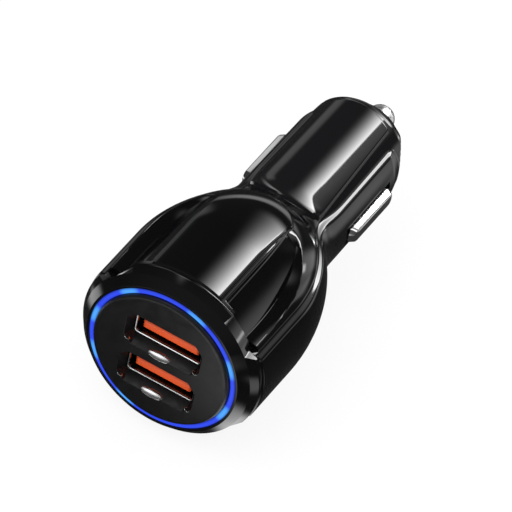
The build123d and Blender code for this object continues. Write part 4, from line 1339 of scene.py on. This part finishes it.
class PLUG_OT_contacts(bpy.types.Operator):
    """Bend the side contacts and the leaf springs behind them"""

    bl_idname = "plug.contacts"
    bl_label = "Side contacts"

    def execute(self, context):
        for side, way in (("left", -1), ("right", 1)):
            piece = contact_blade(f"{side}_blade", side)
            body = f"{side}_side_contact"
            dress(piece, body, "nickel_plate", finishes["nickel_plate"], f"{side}_contact")
            leaf = rounded_copy(f"{side}_leaf_spring", f"{side}_leaf", 0.04 * MM)
            dress(leaf, "plug", "spring_steel", finishes["spring_steel"], f"{side}_leaf_spring")
            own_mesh(leaf)
        return {"FINISHED"}


# Nose cap, centre pin and its spring
CAP_WALL = 1.1 * MM
CAP_FLOOR = 2.0 * MM
CAP_ROUNDING = 1.2 * MM
PIN_HOLE_RADIUS = 2.68 * MM
PIN_RADIUS = 2.6 * MM
PIN_STEM_RADIUS = 1.9 * MM
PIN_FLANGE = 1.0 * MM
PIN_STEPS = 96
SPRING_TURNS = 5.0
SPRING_RADIUS = 2.7 * MM


class PLUG_OT_tip(bpy.types.Operator):
    """Turn the nose cap and the centre pin and wind the spring behind it"""

    bl_idname = "plug.tip"
    bl_label = "Tip"

    def execute(self, context):
        s = context.scene.charger_plug.front
        edge = s.edge_radius
        cap_bore = CAP_RADIUS - CAP_WALL
        cap_floor = CAP_END - CAP_FLOOR
        cap = rounded(
            [
                (cap_bore, CAP_FRONT, 0),
                (CAP_RADIUS, CAP_FRONT, edge),
                (CAP_RADIUS, CAP_END, CAP_ROUNDING),
                (PIN_HOLE_RADIUS, CAP_END, edge),
                (PIN_HOLE_RADIUS, cap_floor, 0),
                (cap_bore, cap_floor, 0),
            ],
            8,
        )
        piece = turned_piece("tip_cap", cap, trees["turned"], s.turn_segments, finishes["cap_black"])
        dress(piece, "plug", "cap_black", finishes["cap_black"], "nose_cap")
        flange_front = cap_floor - FIT_GAP
        flange_rear = flange_front - PIN_FLANGE
        nose_y = PIN_END - PIN_RADIUS
        nose = [
            Vector((PIN_RADIUS * math.cos(a), nose_y + PIN_RADIUS * math.sin(a)))
            for a in np.radians(np.linspace(0, 90, 19))
        ]
        nose[-1] = Vector((0, PIN_END))
        body = rounded(
            [
                (0, PIN_TAIL, 0),
                (PIN_STEM_RADIUS, PIN_TAIL, edge),
                (PIN_STEM_RADIUS, flange_rear, 0),
                (PIN_FLANGE_RADIUS, flange_rear, edge),
                (PIN_FLANGE_RADIUS, flange_front, edge),
                (PIN_RADIUS, flange_front, 0),
                (PIN_RADIUS, nose_y, 0),
            ]
        )
        profile = body + nose[1:]
        piece = turned_piece("contact_pin", profile, trees["turned"], PIN_STEPS, finishes["pin_nickel"])
        dress(piece, "pin", "nickel_plate", finishes["pin_nickel"], "centre_pin")
        low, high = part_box("pin_spring")
        wire = s.spring_wire
        piece = new_piece("coil_spring", [], [])
        trees["spring"].grow(
            piece,
            Turns=SPRING_TURNS,
            Radius=SPRING_RADIUS,
            Height=high.y - low.y - 2 * wire,
            Wire=wire,
            Station=(0, low.y + wire, 0),
            Material=finishes["spring_steel"],
        )
        close_mesh(piece, MERGE_GAP)
        smooth(piece)
        dress(piece, "plug", "spring_steel", finishes["spring_steel"], "pin_spring")
        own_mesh(piece)
        return {"FINISHED"}


class PLUG_OT_inside(bpy.types.Operator):
    """Finish the boards and the parts on them"""

    bl_idname = "plug.inside"
    bl_label = "Boards and parts"

    def execute(self, context):
        slots = {row["node"]: row["material_slot"] for row in frame["record"]["subparts"]}
        for name, node in frame["nodes"].items():
            if node.hide_render:
                continue
            node.data.materials.clear()
            node.data.materials.append(finishes[slots[name]])
        return {"FINISHED"}


# Stage

FLOOR_Z = cad_low.z - 0.2 * MM
FLOOR_HALF = 3.0
FLOOR_GLOW = 0.88
WHITE = (1, 1, 1, 1)
TENT_RADIUS = 0.7
HIDDEN_FROM = ("camera", "diffuse", "transmission", "volume_scatter", "shadow")
LAMP_PLACE = (-0.15, -0.35, 0.55)
LAMP_SIZE = 0.5

# Directions in the tent are in degrees: azimuth from the tip's side towards the right, and height.
# The long softbox and its dim tail: azimuths or heights between which they show, and their soft margins
SOFTBOX_RISE = (-18, 25)
SOFTBOX_POWER = 2.8
SOFTBOX_SIDES = (-40, 26.5, (1, 2.5))
SOFTBOX_HEIGHTS = (11, 66, (10, 10))
TAIL_SIDES = (25, 50, (2, 22))
TAIL_HEIGHTS = (18, 62, (10, 10))

# Cards: azimuth, height, the two widths over which they fade, level
CARD_FADE = 4.0
CARDS = (
    (49, -6, 12, 10, 0.95),
    (30.2, -1.2, 2.5, 2.2, 4.0),
    (29, -5, 8, 14, 0.9),
    (-30, -43, 20, 12, 0.2),
    (180, 35, 60, 30, 0.1),
    (-125, 68, 20, 9, 2.6),
    (-47.5, 14.0, 9.0, 7.0, 0.62),
    (180, -3, 40, 4, 2.0),
    (-127, -14.5, 7, 3.5, 2.1),
    (-84, -23, 8, 5, 1.7),
    (156, -21, 6, 3.5, 2.7),
    (131.5, -14.6, 6, 3.5, 1.2),
    (172, -12, 9, 5, 1.4),
    (-12, 1, 24, 3, 1.1),
    (85, 45, 16, 14, 1.6),
    (-78, 50, 13, 12, 1.6),
    (0, 90, 400, 7, 1.2),
)

# Camera: direction of view in radians, aim on the axis and its shift in the picture, distance, lens
VIEW_AZIMUTH, VIEW_ELEVATION, VIEW_ROLL = 0.387108, 0.780533, 0.212716
AIM_Y, AIM_RIGHT, AIM_UP = -5.7 * MM, 2.737 * MM, 3.15 * MM
VIEW_DISTANCE = 1.5
LENS, SENSOR = 612.65, 36.0


def window(f, value, low, high, margin):
    """1 between two angles in degrees, fading over a soft margin inside them."""
    rise = f.remap(value, math.radians(low), math.radians(low + margin[0]), soft=True)
    fall = f.remap(value, math.radians(high - margin[1]), math.radians(high), 1.0, 0.0, soft=True)
    return f.calc("MULTIPLY", rise, fall)


def soft_card(f, azimuth, height, card):
    """A pale card in the tent that fades out all round."""
    middle, middle_height, wide, tall, strength = card
    across = f.calc("WRAP", f.calc("SUBTRACT", azimuth, math.radians(middle)), math.pi, -math.pi)
    upward = f.calc("SUBTRACT", height, math.radians(middle_height))
    off = [
        f.calc("POWER", f.calc("ABSOLUTE", f.calc("DIVIDE", way, math.radians(half))), CARD_FADE)
        for way, half in ((across, wide), (upward, tall))
    ]
    fade = f.calc("EXPONENT", f.calc("MULTIPLY", f.calc("ADD", *off), -1.0))
    return f.calc("MULTIPLY", fade, strength)


def tent_finish(levels):
    """Dark cards with one long softbox behind the plug and a few pale ones."""
    f = Finish("studio tent")
    f.nodes.remove(f.shader)
    way = f.split(f.vector("NORMALIZE", f.place())["Vector"])
    azimuth = f.calc("ARCTAN2", way["X"], way["Y"])
    height = f.calc("ARCSINE", way["Z"])
    gradient = f.calc("POWER", f.remap(azimuth, *map(math.radians, SOFTBOX_RISE)), SOFTBOX_POWER)
    box = f.calc("MULTIPLY", gradient, window(f, azimuth, *SOFTBOX_SIDES))
    box = f.calc("MULTIPLY", box, window(f, height, *SOFTBOX_HEIGHTS))
    light = f.calc("ADD", f.calc("MULTIPLY", box, levels.softbox), levels.surround)
    tail = f.calc("MULTIPLY", window(f, azimuth, *TAIL_SIDES), window(f, height, *TAIL_HEIGHTS))
    light = f.calc("ADD", light, tail)
    for card in CARDS:
        light = f.calc("ADD", light, soft_card(f, azimuth, height, card))
    emission = f.nodes.new("ShaderNodeEmission")
    f.links.new(light, emission.inputs["Strength"])
    f.links.new(emission.outputs[0], f.nodes["Material Output"].inputs["Surface"])
    return f.material


def backdrop_rays(wiring):
    """1 for rays that should meet the white background: camera, glossy and transmission rays."""
    path = wiring.nodes.new("ShaderNodeLightPath").outputs
    seen = wiring.calc("MAXIMUM", path["Is Camera Ray"], path["Is Glossy Ray"])
    return wiring.calc("MAXIMUM", seen, path["Is Transmission Ray"])


def light_world(scene, levels):
    """World that lights the plug from all round and shows as white."""
    world = bpy.data.worlds.new("studio")
    world.use_nodes = True
    scene.world = world
    wiring = Wiring(world.node_tree)
    room = wiring.nodes["Background"]
    room.inputs["Color"].default_value = WHITE
    strength = wiring.remap(backdrop_rays(wiring), 0.0, 1.0, levels.ambient, 1.0)
    wiring.links.new(strength, room.inputs["Strength"])


def lay_floor():
    """Pale floor that shows as white and keeps the plug's shadow."""
    corners = ((-1, -1), (1, -1), (1, 1), (-1, 1))
    points = [(x * FLOOR_HALF, y * FLOOR_HALF, FLOOR_Z) for x, y in corners]
    floor = new_piece("floor", points, [(0, 1, 2, 3)])
    f = Finish("pale floor")
    f.set(Base_Color=(0.93, 0.93, 0.93, 1), Roughness=0.9, Specular_IOR_Level=0.0)
    glow = f.nodes.new("ShaderNodeEmission")
    glow.inputs["Color"].default_value = WHITE
    mix = f.nodes.new("ShaderNodeMixShader")
    share = f.remap(backdrop_rays(f), 0.0, 1.0, 0.0, FLOOR_GLOW)
    for socket, value in zip(mix.inputs, (share, f.shader.outputs[0], glow.outputs[0])):
        f.links.new(value, socket)
    f.links.new(mix.outputs[0], f.nodes["Material Output"].inputs["Surface"])
    floor.data.materials.append(f.material)
    return floor


def hang_cards(levels):
    """A tent round the plug and a card on the table, which only reflections show."""
    bpy.ops.mesh.primitive_uv_sphere_add(segments=48, ring_count=24, radius=TENT_RADIUS)
    tent = bpy.context.object
    tent.name = "reflection_tent"
    bpy.ops.mesh.primitive_circle_add(vertices=64, radius=TENT_RADIUS, fill_type="NGON")
    card = bpy.context.object
    card.name = "table_card"
    card.data.transform(Matrix.Translation((0, 0, FLOOR_Z + 0.1 * MM)))
    finish = tent_finish(levels)
    for surface in (tent, card):
        surface.data.materials.append(finish)
        for rays in HIDDEN_FROM:
            setattr(surface, f"visible_{rays}", False)
    return tent, card


def hang_lamp(scene, levels):
    """Soft lamp overhead, turned to the plug."""
    light = bpy.data.lights.new("overhead lamp", "AREA")
    light.shape = "DISK"
    light.size = LAMP_SIZE
    light.energy = levels.lamp
    lamp = bpy.data.objects.new("overhead_lamp", light)
    scene.collection.objects.link(lamp)
    lamp.location = LAMP_PLACE
    lamp.rotation_mode = "QUATERNION"
    lamp.rotation_quaternion = Vector(LAMP_PLACE).to_track_quat("Z", "Y")
    lamp.visible_glossy = False
    return lamp


def set_camera(scene):
    """Camera at the photograph's viewing angle."""
    flat = math.cos(VIEW_ELEVATION)
    back = Vector((math.sin(VIEW_AZIMUTH) * flat, -math.cos(VIEW_AZIMUTH) * flat, math.sin(VIEW_ELEVATION)))
    right = Vector((math.cos(VIEW_AZIMUTH), math.sin(VIEW_AZIMUTH), 0))
    up = back.cross(right)
    right, up = (
        right * math.cos(VIEW_ROLL) + up * math.sin(VIEW_ROLL),
        up * math.cos(VIEW_ROLL) - right * math.sin(VIEW_ROLL),
    )
    view = bpy.data.cameras.new("camera")
    view.sensor_width = SENSOR
    view.lens = LENS
    view.clip_start = 0.05
    view.clip_end = 50.0
    camera = bpy.data.objects.new("camera", view)
    scene.collection.objects.link(camera)
    aim = Vector((0, AIM_Y, 0)) - right * AIM_RIGHT - up * AIM_UP
    turn = Matrix((right, up, back)).transposed().to_4x4()
    camera.matrix_world = Matrix.Translation(aim + back * VIEW_DISTANCE) @ turn
    scene.camera = camera
    return camera


class PLUG_OT_stage(bpy.types.Operator):
    """Set up the floor, the studio light and the camera"""

    bl_idname = "plug.stage"
    bl_label = "Stage"

    def execute(self, context):
        scene = context.scene
        levels = scene.charger_plug.studio
        scene.view_settings.view_transform = "Standard"
        light_world(scene, levels)
        floor = lay_floor()
        tent, card = hang_cards(levels)
        lamp = hang_lamp(scene, levels)
        camera = set_camera(scene)
        return {"FINISHED"}


OPERATORS = (
    PLUG_OT_finishes,
    PLUG_OT_housing,
    PLUG_OT_front,
    PLUG_OT_lamps,
    PLUG_OT_ports,
    PLUG_OT_contacts,
    PLUG_OT_tip,
    PLUG_OT_inside,
    PLUG_OT_stage,
)


class PLUG_PT_panel(bpy.types.Panel):
    """Lists the pieces of the plug and the sizes and colours behind them"""

    bl_idname = "PLUG_PT_panel"
    bl_label = "Charger Plug"
    bl_space_type = "VIEW_3D"
    bl_region_type = "UI"
    bl_category = "Charger Plug"

    def draw(self, context):
        settings = context.scene.charger_plug
        for operator in OPERATORS:
            self.layout.operator(operator.bl_idname)
        for group in (settings.housing, settings.front, settings.finish, settings.studio):
            box = self.layout.box()
            for name in group.__annotations__:
                box.prop(group, name)


CLASSES = (HousingSizes, FrontSizes, FinishColours, StudioLevels, PlugSettings, *OPERATORS, PLUG_PT_panel)


def register():
    """Registers the classes and hangs the settings on the scene."""
    for cls in CLASSES:
        bpy.utils.register_class(cls)
    bpy.types.Scene.charger_plug = PointerProperty(type=PlugSettings)


def unregister():
    """Takes the settings and the classes away again."""
    del bpy.types.Scene.charger_plug
    for cls in reversed(CLASSES):
        bpy.utils.unregister_class(cls)


def main():
    """Builds the plug and its stage in order."""
    register()
    bpy.ops.plug.finishes()
    bpy.ops.plug.housing()
    bpy.ops.plug.front()
    bpy.ops.plug.lamps()
    bpy.ops.plug.ports()
    bpy.ops.plug.contacts()
    bpy.ops.plug.tip()
    bpy.ops.plug.inside()
    bpy.ops.plug.stage()


if __name__ == "__main__":
    main()
